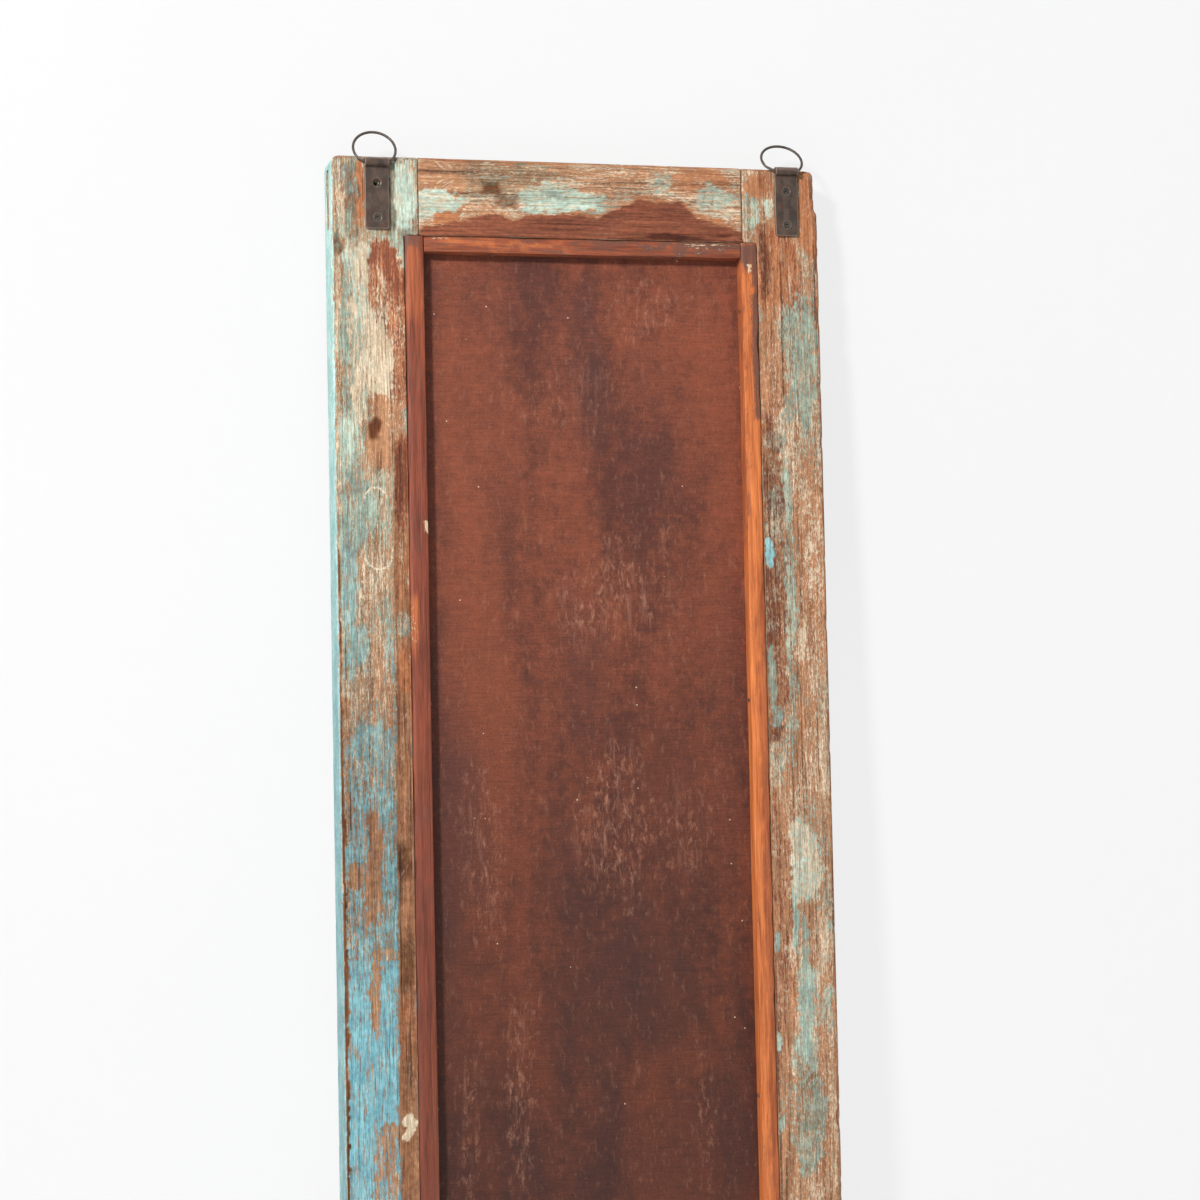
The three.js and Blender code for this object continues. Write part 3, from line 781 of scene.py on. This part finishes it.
def paintPatches(fields, points, patches, wobble, where):
    across, _, along = points.T
    for x, z, halfWidth, halfHeight, angle, soft, sets in patches:
        reachAcross = patchRim["short"] * min(halfWidth, halfHeight) + patchRim["least"]
        reachAlong = patchRim["long"] * max(halfWidth, halfHeight) + patchRim["least"]
        u = across - x + wobble[0] * reachAcross
        v = along - z + wobble[1] * reachAlong
        turnedU = u * math.cos(angle) - v * math.sin(angle)
        turnedV = u * math.sin(angle) + v * math.cos(angle)
        far = (np.abs(turnedU / halfWidth) ** 3 + np.abs(turnedV / halfHeight) ** 3) ** (1 / 3)
        blend(fields, sets, between(1.01 + soft / 2 - far, 0, soft) * where)


facing = (0.3, 0.8)  # the normal's share at which a face begins and ends to count
sideFacing, sideFrom = (0.45, 0.8), (150, 190)
baseDrift = {"cream": ((14, 14, 60), 5, 0.7), "orange": ((20, 20, 110), 9, 0.8)}  # size, seed step, reach
# How the right stile changes with height: limits in mm, then how much of each tone there is.
rightStile = {
    "blueBelow": (860, 660), "blue": (0.9, 0.1), "thickBelow": (760, 560), "thick": 0.3,
    # The pale entry makes the outer side face paler higher up: painted light over its pale paint.
    "grimeAt": 680, "grimeWithin": (190, 60), "grime": 0.25, "sunlitPaleAbove": (640, 1150), "pale": (0.93, 0.04),
}
# The front and the outer side have thicker paint, rubbed through here and there; the outer side's paint is
# also made paler as painted light on that lit face.
frontLayers = {"cream": 0.4, "blue": 0.55, "pale": 0.15, "orange": 0.3, "streaks": 0.7, "grime": 0.2}
frontPaint = {"amount": 0.83, "drift": 1.5}
sunlitSideLayers = {"paint": 1.1, "cream": 0.6, "blue": 0.8, "grime": 0.05, "streaks": 0.4, "stain": 0}
stainWear = {
    "rubbed": {"orange": 1.0, "paint": 0.05, "cream": 0.15},
    "stained": {"stain": 1.0, "paint": 0.0, "cream": 0.12, "orange": 0.6, "grime": 0.15},
    "ripple": 6, "rubbedShare": 0.85, "cut": 0.6, "darkBelow": (1146, 1140), "darkAcross": (-20, 20),
}


def wearFields(points, normals, grainPoints, member):
    x, y, z = points.T
    seed = member["seed"]
    fields = setBase(len(points), member["base"])
    broad = drift(grainPoints, (24, 24, 90), seed, 1)
    fields["paint"] += broad * 0.9
    for name, (size, step, reach) in baseDrift.items():
        fields[name] += drift(grainPoints, size, seed + step, reach)
    if member["node"] == "stile_right":
        most, least = rightStile["blue"]
        toGrime = np.abs(z - rightStile["grimeAt"])
        fields["blue"] = between(z, *rightStile["blueBelow"]) * most + least
        fields["paint"] += between(z, *rightStile["thickBelow"]) * rightStile["thick"]
        fields["grime"] += between(toGrime, *rightStile["grimeWithin"]) * rightStile["grime"]
    onBack, onFront = between(normals[:, 1], *facing), between(-normals[:, 1], *facing)
    onSide = between(np.abs(normals[:, 0]), *sideFacing) * between(np.abs(x), *sideFrom)
    coarse = wobbleOf(points, 18, seed + 20)
    wobble = [coarse[axis] + 0.7 * (pointNoise(points, 4, seed + 30 + axis) * 2 - 1) for axis in range(2)]
    paintPatches(fields, points, member["patches"], wobble, onBack)
    thickPaint = frontPaint["amount"] + broad * frontPaint["drift"]
    blend(fields, {"paint": thickPaint, **frontLayers}, onFront)
    if member["node"] == "stile_right":
        # Painted light: the outer side face turns paler towards the top, to look brightly lit, over its
        # turquoise paint.
        most, least = rightStile["pale"]
        blend(fields, {**sunlitSideLayers, "pale": between(z, *rightStile["sunlitPaleAbove"]) * most + least}, onSide)
    return fields, onBack


ledgeStep = {"across": (-0.5, 0.9), "above": 14, "below": 6}


def ledgeMask(points, member):
    x, y, z = points.T
    if "ledge" not in member:
        return np.zeros(len(points))
    heights, places = zip(*member["ledge"])
    edge = np.interp(z, heights, places) + drift(points, (60, 60, 26), member["seed"] + 40, 1.6, 2)
    inward = (edge - x) * np.sign(edge)
    start = member["ledgeTop"] + ledgeStep["above"]
    full = member["ledgeTop"] - ledgeStep["below"]
    return between(inward, *ledgeStep["across"]) * between(z, start, full)


def stainRail(fields, points, member, onBack):
    x, y, z = points.T
    seed = member["seed"]
    places, heights = zip(*member["stainEdge"])
    edge = np.interp(x, places, heights) + drift(points, (14, 14, 4), seed + 70, stainWear["ripple"], 4)
    rubbed = between(z - edge, 6, 1) * between(layeredNoise(points, (30, 30, 8), seed + 72), 0.35, 0.6)
    blend(fields, stainWear["rubbed"], rubbed * onBack * stainWear["rubbedShare"])
    stained = between(edge - z, -2, 2) * onBack
    blend(fields, stainWear["stained"], stained)
    fields["cut"] += stainWear["cut"] * stained
    dark = between(layeredNoise(points, (24, 24, 3), seed + 71, 2), 0.45, 0.7)
    darkPlace = between(z, *stainWear["darkBelow"]) * between(-x, *stainWear["darkAcross"])
    fields["grime"] += dark * darkPlace * onBack


# Distances in mm over which each kind of wear sets in, from its far end to the edge or face.
wearReach = {
    "rub": (4.2, 0.8), "bite": (5.5, 0.5), "face": (3.5, 0.5), "top": (9, 0.5), "foot": (3.5, 0.5),
    "notch": (14, 0.5), "notchRise": 5,
}
carving = {
    "least": 0.1, "waves": 0.5, "grain": 0.45, "ledge": 1.1, "sideWaves": 0.4, "nick": 0.35, "chip": 2.6,
    "bite": 0.6, "foot": 0.1, "topPlaces": (-200, -60, 200), "topFalls": (2.2, 1.1, 0.0),
    "rubLoss": {"paint": 0.9, "cream": 0.6}, "rubOrange": 0.3, "faceFrom": (6, 15),
    "chipNoise": (0.56, 0.78), "grainNoise": (0.5, 0.15),
    "biteLoss": {"cream": (0.3, 1.2, 2.2), "paint": (0.9, 0.9, 1.8)},
}


# Outer edges rub bare and chip first, and the surface gets waves, grain and cuts. The coordinates
# are views of the points, so each step starts from what the steps before it have moved.
def carveMember(points, fields, member, grainPoints, ledge, onBack):
    x, y, z = points.T
    seed = member["seed"]
    halfWidth, height, halfDepth, radius = frameSize.values()
    toSide = halfWidth - np.abs(x)
    toEnd = np.minimum(z, height - z)
    toFace = halfDepth - np.abs(y)
    toEdge = np.hypot(toFace, np.minimum(toSide, toEnd))
    cornerX, cornerZ = np.maximum(radius - toSide, 0), np.maximum(radius - (height - z), 0)
    cornerFar = np.hypot(cornerX, cornerZ)
    beyond = np.maximum(cornerFar - radius, 0) * (cornerX > 0) * (cornerZ > 0)
    rub = between(toEdge, *wearReach["rub"]) * (0.4 + layeredNoise(points, 9, seed + 80)) * member["edgeBare"]
    rub = np.clip(rub, 0, 1)
    for name, loss in carving["rubLoss"].items():
        fields[name] *= 1 - rub * loss
    fields["orange"] += rub * carving["rubOrange"]

    waves = layeredNoise(grainPoints, (30, 30, 120), seed + 90)
    grain = between(layeredNoise(grainPoints, (3.4, 3.4, 46), seed + 95, 2), *carving["grainNoise"])
    low = carving["least"] + carving["waves"] * waves + carving["grain"] * grain + fields["cut"]
    low = low + carving["ledge"] * ledge * onBack
    chips = between(layeredNoise(points, (13, 13, 13), seed + 100, 4), *carving["chipNoise"])
    chips = chips * member["chips"]
    bite = between(toEdge, *wearReach["bite"]) * (carving["nick"] + carving["chip"] * chips)
    chipped = carving["bite"] * bite
    nearFace, nearSide = between(toFace, *wearReach["face"]), between(toSide, *wearReach["face"])
    points[:, 1] -= np.sign(y) * (nearFace * low * between(np.abs(y), *carving["faceFrom"]) + chipped)
    sideLow = carving["least"] + carving["sideWaves"] * waves
    points[:, 0] -= np.sign(x) * (nearSide * sideLow + chipped * (toSide < toEnd))
    topFall = np.interp(x, carving["topPlaces"], carving["topFalls"]) + carving["waves"] * waves
    nearTop = between(height - z, *wearReach["top"])
    points[:, 2] -= nearTop * topFall + chipped * (toEnd < toSide) * np.sign(z - height / 2)
    points[:, 2] += between(z, *wearReach["foot"]) * carving["foot"]
    notchLow, notchDeep = member.get("notch", (height, 0))
    inNotch = between(toSide, *wearReach["notch"]) * between(z, notchLow, notchLow + wearReach["notchRise"])
    points[:, 0] -= np.sign(x) * inNotch * notchDeep
    reach = np.maximum(cornerFar, 0.01)
    points[:, 0] -= np.sign(x) * beyond * cornerX / reach
    points[:, 2] -= beyond * cornerZ / reach
    for name, (loss, start, full) in carving["biteLoss"].items():
        fields[name] -= loss * between(bite, start, full)


def wearMember(member):
    mesh = evenCopy(member["node"], frameVoxel)
    points, normals = readVertices(mesh, "co") / mm, readVertices(mesh, "normal")
    seed = member["seed"]
    grainPoints = grainAxes(points, member["alongX"])
    fields, onBack = wearFields(points, normals, grainPoints, member)
    ledge = ledgeMask(points, member)
    onLedge = ledge * onBack
    blend(fields, member.get("ledgeLayers", {}), onLedge)
    wobble = wobbleOf(points, 12, seed + 60)
    paintPatches(fields, points, member.get("ledgePatches", []), wobble, onLedge)
    if "stainEdge" in member:
        stainRail(fields, points, member, onBack)
    carveMember(points, fields, member, grainPoints, ledge, onBack)
    mesh.vertices.foreach_set("co", (points * mm).ravel())
    mesh.update()
    writeColors(mesh, "layers", fields, paintLayers)
    writeColors(mesh, "tones", fields, paintTones)
    writeGrain(mesh, grainPoints, seed * grainShift)
    addPiece(member["node"] + ".worn", mesh, frameMaterial, stands=(member["node"],))


for member in members:
    wearMember(member)
print("frame members are worn")


beads = [
    {"node": "bead_right", "low": (126.25, 5.25, 82.25), "high": (141.75, 17.5, 1136.75), "alongX": False,
     "outer": 1, "seed": 61, "base": {"orange": 0.02, "cream": 0.06, "grime": 0.12},
     "patches": [patch(139, 830, 3, 20, cream=0.25, orange=0.6, soft=0.8),
                 patch(127, 905, 2, 3.5, cream=1.1),
                 patch(134, 1100, 8, 30, orange=0.25),
                 # This patch darkens the lower part of the bead toward the crack colour.
                 patch(134, 380, 9, 330, stain=0.8, soft=1.2),
                 patch(136, 1134, 8, 7, grime=0.7, soft=0.9)]},
    {"node": "bead_left", "low": (-147.75, 5.25, 82.25), "high": (-133.75, 17.5, 1136.75), "alongX": False,
     "outer": -1, "seed": 73, "base": {"orange": 0.95, "cream": 0.03, "grime": 0.05},
     "patches": [patch(-141, 1126, 8, 11, grime=0.85, orange=0.2, soft=0.9),
                 patch(-141, 1116, 0.8, 4, cream=0.9),
                 patch(-145, 1060, 3, 70, grime=0.8, orange=0.45),
                 patch(-144.5, 560, 4.2, 330, orange=0.5, grime=0.15, soft=0.5),
                 patch(-134, 1000, 1, 110, orange=0.6, grime=0.2)]},
    {"node": "bead_top", "low": (-133.5, 5.25, 1123.75), "high": (126, 17.5, 1136.75), "alongX": True,
     "outer": 1, "seed": 87, "base": {"orange": 0.14, "cream": 0.08, "grime": 0.25},
     "patches": [patch(112, 1134, 9, 1.4, cream=0.55),
                 patch(-90, 1133, 46, 4, grime=0.9, orange=0.2, cream=0.2),
                 patch(-20, 1134, 26, 2.5, grime=0.7),
                 patch(60, 1130, 50, 4, orange=0.5)]},
    {"node": "bead_bottom", "low": (-133.5, 5.25, 82.25), "high": (126, 17.5, 95.25), "alongX": True,
     "outer": -1, "seed": 91, "base": {"orange": 0.5, "cream": 0.06, "grime": 0.2}, "patches": []},
]
beadShape = {
    "step": 2.5, "rounding": 1.1, "wander": 0.45, "gapCut": 1.5, "knife": 0.5, "chip": 0.8, "endInset": 0.15,
    "sharpAngle": 40,
}
beadGrainShift = 0.29  # how far each seed moves a bead through the noise, m

beadLook = {"bump": (0.6, 0.35), "plain": {"Specular IOR Level": 0.3}}
beadColors = {
    "redDark": (84, 40, 30), "redLight": (148, 74, 52),
    "orangeDark": (158, 78, 38), "orangeLight": (228, 136, 76),
    "crack": (58, 32, 26), "cream": (222, 198, 164), "smear": (92, 66, 58),
}


# The bead's section, walked round from its inner back edge: u runs outward, v runs out of the back.
def beadSection(width, depth, rounding, gapCut):
    half = rounding * 0.3
    return [
        (0, 0), (0, depth * 0.5), (0, depth - rounding), (half, depth - half), (rounding, depth),
        (width * 0.3, depth), (width * 0.5, depth), (width * 0.7, depth), (width - gapCut, depth),
        (width - gapCut * 0.3, depth - gapCut * 0.5), (width, depth - gapCut * 1.6),
        (width, depth * 0.5), (width, 0), (width * 0.5, 0),
    ]


def makeBeadMesh(bead):
    low, high = np.array(bead["low"]), np.array(bead["high"])
    runAxis, wideAxis = (0, 2) if bead["alongX"] else (2, 0)
    length, width, depth = high[runAxis] - low[runAxis], high[wideAxis] - low[wideAxis], high[1] - low[1]
    wander, endInset = beadShape["wander"], beadShape["endInset"]
    count = int(length / beadShape["step"]) + 1
    around = len(beadSection(width, depth, 1, 1))
    points = np.zeros((count, around, 3))
    for index, station in enumerate(np.linspace(low[runAxis], high[runAxis], count)):
        spot = np.array([[station, bead["seed"], 0.0]])
        nearEnd = min(index, count - 1 - index) == 0
        ripple = layeredNoise(spot, (70, 10, 10), bead["seed"])[0]
        knife = layeredNoise(spot, (22, 10, 10), bead["seed"] + 4)[0]
        chip = between(np.array([knife]), 0.58, 0.8)[0]
        section = beadSection(
            width - 2 * wander * ripple - 2 * endInset * nearEnd,
            depth - beadShape["knife"] * knife - 2 * endInset * nearEnd,
            beadShape["rounding"] * (0.6 + ripple),
            beadShape["gapCut"] * (0.35 + 0.9 * knife) + beadShape["chip"] * chip,
        )
        for place, (u, v) in enumerate(section):
            inset = u + wander * ripple + endInset * nearEnd
            across = low[wideAxis] + inset if bead["outer"] > 0 else high[wideAxis] - inset
            points[index, place, runAxis] = station
            points[index, place, wideAxis] = across
            points[index, place, 1] = low[1] + v + endInset * nearEnd
    faces = []
    for start in range(0, (count - 1) * around, around):
        for place in range(around):
            near, far = start + place, start + (place + 1) % around
            faces.append((near, near + around, far + around, far))
    faces.append(tuple(range(around)))
    faces.append(tuple((count - 1) * around + place for place in reversed(range(around))))
    mesh = bpy.data.meshes.new(bead["node"])
    mesh.from_pydata((points.reshape(-1, 3) * mm).tolist(), [], faces)
    editMesh(mesh, lambda work: bmesh.ops.recalc_face_normals(work, faces=work.faces))
    mesh.shade_smooth()
    mesh.set_sharp_from_angle(angle=math.radians(beadShape["sharpAngle"]))
    return mesh


def makeBeadMaterial():
    material, tree, shader = newMaterial("stained bead")
    colors = palette(beadColors)
    layers = attribute(tree, "layers")
    orange, cream, smear = separate(layers["Color"])
    place = attribute(tree, "grainPlace")["Vector"]
    streaks, fibres, cracks = useGroup(grainGroup, {"Place": place, "Coarseness": 1.1})
    fine = timesPlus(fibres, 0.45, times(streaks, 0.55))
    color = mixColor(orange, shades(colors, "red", fine), shades(colors, "orange", fine))
    color = coat(color, cracks, 0.5, colors["crack"])
    # The fourth channel darkens the wood toward the crack colour where the patches set it.
    color = coat(color, layers["Alpha"], 0.4, colors["crack"])
    for amount, streakiness, softness, name in ((smear, 0.8, 0.35, "smear"), (cream, 0.5, 0.08, "cream")):
        given = {"Place": place, "Amount": amount, "Streakiness": streakiness, "Softness": softness}
        color = coat(color, useGroup(flakeGroup, given)["Mask"], 0.8, colors[name])
    height = timesPlus(cracks, -1.0, times(fine, 0.6))
    finish(shader, beadLook, color, fade(fine, 0, 1, 0.62, 0.48), height)
    return material


beadMaterial = makeBeadMaterial()


def addBead(bead):
    mesh = makeBeadMesh(bead)
    points = readVertices(mesh, "co") / mm
    seed = bead["seed"]
    grainPoints = grainAxes(points, bead["alongX"])
    fields = setBase(len(points), bead["base"])
    fields["orange"] += drift(grainPoints, (12, 12, 90), seed + 3, 0.5)
    fields["grime"] += drift(grainPoints, (9, 9, 40), seed + 6, 0.5)
    paintPatches(fields, points, bead["patches"], wobbleOf(points, 9, seed + 8), np.ones(len(points)))
    writeColors(mesh, "layers", fields, ("orange", "cream", "grime", "stain"))
    writeGrain(mesh, grainPoints, seed * beadGrainShift)
    addPiece(bead["node"] + ".planed", mesh, beadMaterial, stands=(bead["node"],))


for bead in beads:
    addBead(bead)
print("beads are planed")


panelLook = {"bump": (0.3, 0.2), "plain": {"Specular IOR Level": 0.3}}
panelColors = {
    "dark": (62, 32, 27), "middle": (105, 54, 40), "light": (137, 73, 50),
    "bloom": (88, 58, 56), "scuff": (190, 136, 112), "speck": (222, 196, 170),
}
bloomShare = 0.45
# Soft places on the panel: x, z, half width, half height (mm) and how strong.
panelClouds = [
    (-2, 1049, 22, 75, 0.6), (107, 668, 26, 80, 0.9), (-27, 539, 52, 70, 0.9), (-2, 790, 20, 70, 0.5),
    (-60, 990, 30, 60, 0.35), (-118, 760, 16, 120, 0.35), (60, 1090, 60, 26, 0.3), (20, 640, 16, 46, 0.4),
    (-20, 400, 130, 60, 0.5), (-115, 420, 20, 80, 0.5), (118, 560, 14, 70, 0.4),
]
panelWarm = [
    (86, 930, 34, 190, 0.7), (-70, 690, 34, 60, 0.5), (90, 760, 30, 90, 0.6), (-95, 1000, 24, 90, 0.4),
    (92, 520, 26, 70, 0.5),
]
panelScuffs = [
    (-14, 850, 34, 36, 0.9), (86, 652, 16, 60, 0.7), (-22, 672, 26, 60, 1.0), (-62, 1084, 44, 26, 0.6),
    (-70, 664, 24, 40, 0.6), (58, 470, 12, 70, 0.6), (100, 430, 8, 50, 0.6), (-92, 430, 8, 60, 0.5),
    (-66, 880, 20, 60, 0.4), (10, 1015, 40, 30, 0.3),
]


# A ragged soft spot: Centre and Size are metres, and Mask fades out at the spot's rim.
def makeSpotGroup():
    inputs = {"Place": None, "Ragged": 0.5, "Centre": None, "Size": None}
    tree, given, result = newGroup("soft spot", inputs, ("Mask",))
    away = vectorMath("SUBTRACT", given["Place"], given["Centre"])[0]
    far = calc("ADD", lengthOf(vectorMath("DIVIDE", away, given["Size"])[0]), given["Ragged"])
    connect(result, {"Mask": fade(far, 1.5, 0.4)})
    return tree


spotGroup = makeSpotGroup()


def addSpots(place, spots, ragged):
    total = 0.0
    for x, z, halfWidth, halfHeight, strength in spots:
        spot = {"Centre": (x * mm, 0, z * mm), "Size": (halfWidth * mm, 1, halfHeight * mm)}
        mask = useGroup(spotGroup, {"Place": place, "Ragged": ragged, **spot})["Mask"]
        total = timesPlus(mask, strength, total)
    return calc("MINIMUM", total, 1.0)


def dressPanel():
    material, tree, shader = newMaterial("stained backing ply")
    colors = palette(panelColors)
    dark, bloom = colors["dark"], colors["bloom"]
    shadow = tuple(low + (high - low) * bloomShare for low, high in zip(dark, bloom))
    place = objectPlace(tree)
    upright = stretch(place, 1, 0.32)
    mottle = noise(place, 110, 6.0, 0.7, 0.3)
    ragged = timesPlus(noise(upright, 30, 5.0, 0.6), 2.4, -1.2)
    level = timesPlus(mottle, 0.4, times(noise(upright, 13, 5.0, 0.6, 0.6), 0.6))
    color = mixColor(fade(level, 0.38, 0.62), dark, colors["light"])
    color = mixColor(0.35, color, colors["middle"])
    color = coat(color, addSpots(place, panelWarm, ragged), 0.55, colors["light"])
    color = coat(color, addSpots(place, panelClouds, ragged), 0.62, shadow)
    # Darker towards the bottom: partly painted shade for the light falling off lower down, partly darker wood
    # there.
    color = dim(color, fade(heightOf(place), 1.0, 0.45, 1.0, 0.57))
    weave = noise(stretch(place, 60, 1100), 1.0, 3.0, 0.6)
    texture = timesPlus(weave, 0.4, times(noise(place, 620, 4.0, 0.7), 0.6))
    color = dim(color, fade(texture, 0.36, 0.64, 0.74, 1.16))
    smeared = noise(stretch(place, 170, 22, (7, 0, 3)), 1.0, 6.0, 0.75)
    cloudy = noise(stretch(place, 1, 0.4, (2, 0, 9)), 230, 7.0, 0.8, 0.4)
    rubbing = larger(fade(smeared, 0.5, 0.74), fade(cloudy, 0.48, 0.66))
    smears = times(rubbing, addSpots(place, panelScuffs, ragged))
    thin = times(fade(cloudy, 0.52, 0.7), 0.18)
    color = mixColor(timesPlus(smears, 0.38, thin), color, colors["scuff"])
    specks = useGroup(scuffGroup, {"Place": place, "Size": 1.0})["Specks"]
    color = coat(color, specks, 0.8, colors["speck"])
    finish(shader, panelLook, color, fade(level, 0.3, 0.7, 0.6, 0.78), timesPlus(mottle, 0.6, weave))
    dress(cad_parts["back_panel"], material)


dressPanel()


# Worn is the height in metres above which the strap's loop is lighter: a painted highlight along the loop's
# top, partly rubbed wear.
steels = {
    "strap": {"name": "rusty strap steel", "roughness": 0.55, "scale": 260, "worn": 1.1945,
              "plain": {"Metallic": 0.35},
              "colors": {"dark": (51, 42, 37), "light": (80, 65, 56), "rust": (90, 59, 44),
                         "bright": (170, 150, 138)}},
    "screw": {"name": "dark screw steel", "roughness": 0.5, "scale": 500, "plain": {"Metallic": 0.5},
              "colors": {"dark": (30, 26, 24), "light": (62, 55, 49), "rust": (66, 48, 38),
                         "bright": (150, 140, 126)}},
    "ring": {"name": "drawn ring wire", "roughness": 0.45, "scale": 380, "plain": {"Metallic": 0.4},
             "colors": {"dark": (38, 32, 29), "light": (70, 61, 55), "rust": (66, 47, 36),
                        "bright": (150, 138, 128)}},
}
steelFinish = {"hollowShade": (18, 15, 13), "bump": (0.3, 0.15), "rustRoughness": 0.25, "wornWithin": 4}


# Patchy rust and rubbed spots on steel.
def makeTarnishGroup():
    tree, given, result = newGroup("tarnish", {"Place": None, "Scale": 260.0}, ("Rust", "Cloud", "Pits"))
    place, scale = given["Place"], given["Scale"]
    rust = fade(noise(place, scale, 6.0, 0.7), 0.5, 0.64)
    cloud = fade(noise(stretch(place, 1, 0.6, (2, 3, 4)), times(scale, 0.6), 5.0, 0.6), 0.36, 0.64)
    connect(result, {"Rust": rust, "Cloud": cloud, "Pits": noise(place, times(scale, 5.0), 3.0, 0.6)})
    return tree


tarnishGroup = makeTarnishGroup()


def makeSteel(look):
    material, tree, shader = newMaterial(look["name"])
    colors = palette({**look["colors"], "hollowShade": steelFinish["hollowShade"]})
    place = objectPlace(tree)
    rust, cloud, pits = useGroup(tarnishGroup, {"Place": place, "Scale": look["scale"]})
    color = mixColor(cloud, colors["dark"], colors["light"])
    color = coat(color, rust, 0.6, colors["rust"])
    # Convex edges get lighter, a painted edge highlight with rubbed wear; concave places get darker, painted
    # shade in the hollows.
    edge = put("ShaderNodeNewGeometry", {}, tree).outputs["Pointiness"]
    rubbed = fade(edge, 0.505, 0.54, 0, 0.5)
    if "worn" in look:
        high = fade(heightOf(place), look["worn"], look["worn"] + steelFinish["wornWithin"] * mm)
        rubbed = larger(rubbed, times(high, fade(pits, 0.4, 0.6, 0.15, 0.75)))
    color = mixColor(rubbed, color, colors["bright"])
    color = mixColor(fade(edge, 0.49, 0.46, 0, 0.85), color, colors["hollowShade"])
    roughness = fade(rust, 0, 1, look["roughness"], look["roughness"] + steelFinish["rustRoughness"])
    finish(shader, {**steelFinish, **look}, color, roughness, timesPlus(rust, 0.5, pits))
    return material


strapSteel, screwSteel, ringSteel = (makeSteel(steels[key]) for key in ("strap", "screw", "ring"))

ringShape = {"flatWithin": 3.0, "swell": 0.09, "levels": 2}  # swell: what the smoothing takes off, mm


def addRing(side):
    def roundUp(work):
        limits = dict.fromkeys(("angle_face_threshold", "angle_shape_threshold"), ringShape["flatWithin"])
        bmesh.ops.join_triangles(work, faces=work.faces, **limits)
        for vertex in work.verts:
            vertex.co += vertex.normal * ringShape["swell"] * mm

    node = f"hanger_ring_{side}"
    mesh = modifiedMesh(editMesh(joinedCopy(node), roundUp), "SUBSURF", levels=ringShape["levels"])
    mesh.shade_smooth()
    addPiece(node + ".wire", mesh, ringSteel, body=f"ring_{side}", stands=(node,))


fineVoxel = {"strap": 0.4, "screw": 0.16, "pin": 0.14, "peg": 0.5}


def addFine(nodeStart, voxel, material):
    for node in [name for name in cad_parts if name.startswith(nodeStart)]:
        addPiece(node + ".fine", evenCopy(node, voxel), material, stands=(node,))


for side in ("right", "left"):
    addRing(side)
addFine("hanger_strap", fineVoxel["strap"], strapSteel)
addFine("hanger_screw", fineVoxel["screw"], screwSteel)
addFine("bead_pin", fineVoxel["pin"], strapSteel)
print("steel is in place")


pegLook = {"bump": (0.4, 0.2)}
pegColors = {"dark": (98, 66, 46), "light": (168, 122, 84), "ring": (74, 50, 38)}


def makePegMaterial():
    material, tree, shader = newMaterial("peg end grain")
    colors = palette(pegColors)
    place = objectPlace(tree)
    squeezed = put("ShaderNodeMapping", {"Vector": place, "Scale": (1, 0.2, 1)}).outputs[0]
    grain = useGroup(grainGroup, {"Place": squeezed, "Coarseness": 2.0})
    given = {"Vector": place, "Scale": 260.0, "Distortion": 5.0, "Detail": 2.0}
    rings = put("ShaderNodeTexWave", given).outputs["Fac"]
    color = mixColor(grain["Fibres"], colors["dark"], colors["light"])
    color = coat(color, rings, 0.35, colors["ring"])
    finish(shader, pegLook, color, fade(grain["Streaks"], 0, 1, 0.7, 0.85), rings)
    return material


addFine("peg_", fineVoxel["peg"], makePegMaterial())

mirrorLook = {"bump": (0.04, 0.1), "plain": {"Metallic": 1.0}}
mirrorColors = {"silver": (232, 238, 237), "aged": (70, 66, 62)}


def dressMirror():
    material, tree, shader = newMaterial("silvered mirror")
    colors = palette(mirrorColors)
    place = objectPlace(tree)
    clouds = noise(place, 30, 4.0, 0.6)
    specks = useGroup(scuffGroup, {"Place": place, "Size": 1.0})["Specks"]
    aged = larger(specks, fade(noise(place, 220, 4.0, 0.7), 0.7, 0.76))
    color = mixColor(times(aged, 0.7), colors["silver"], colors["aged"])
    finish(shader, mirrorLook, color, fade(clouds, 0.35, 0.7, 0.015, 0.05), clouds)
    dress(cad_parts["mirror_plate"], material)


dressMirror()
print("pegs and mirror are dressed")
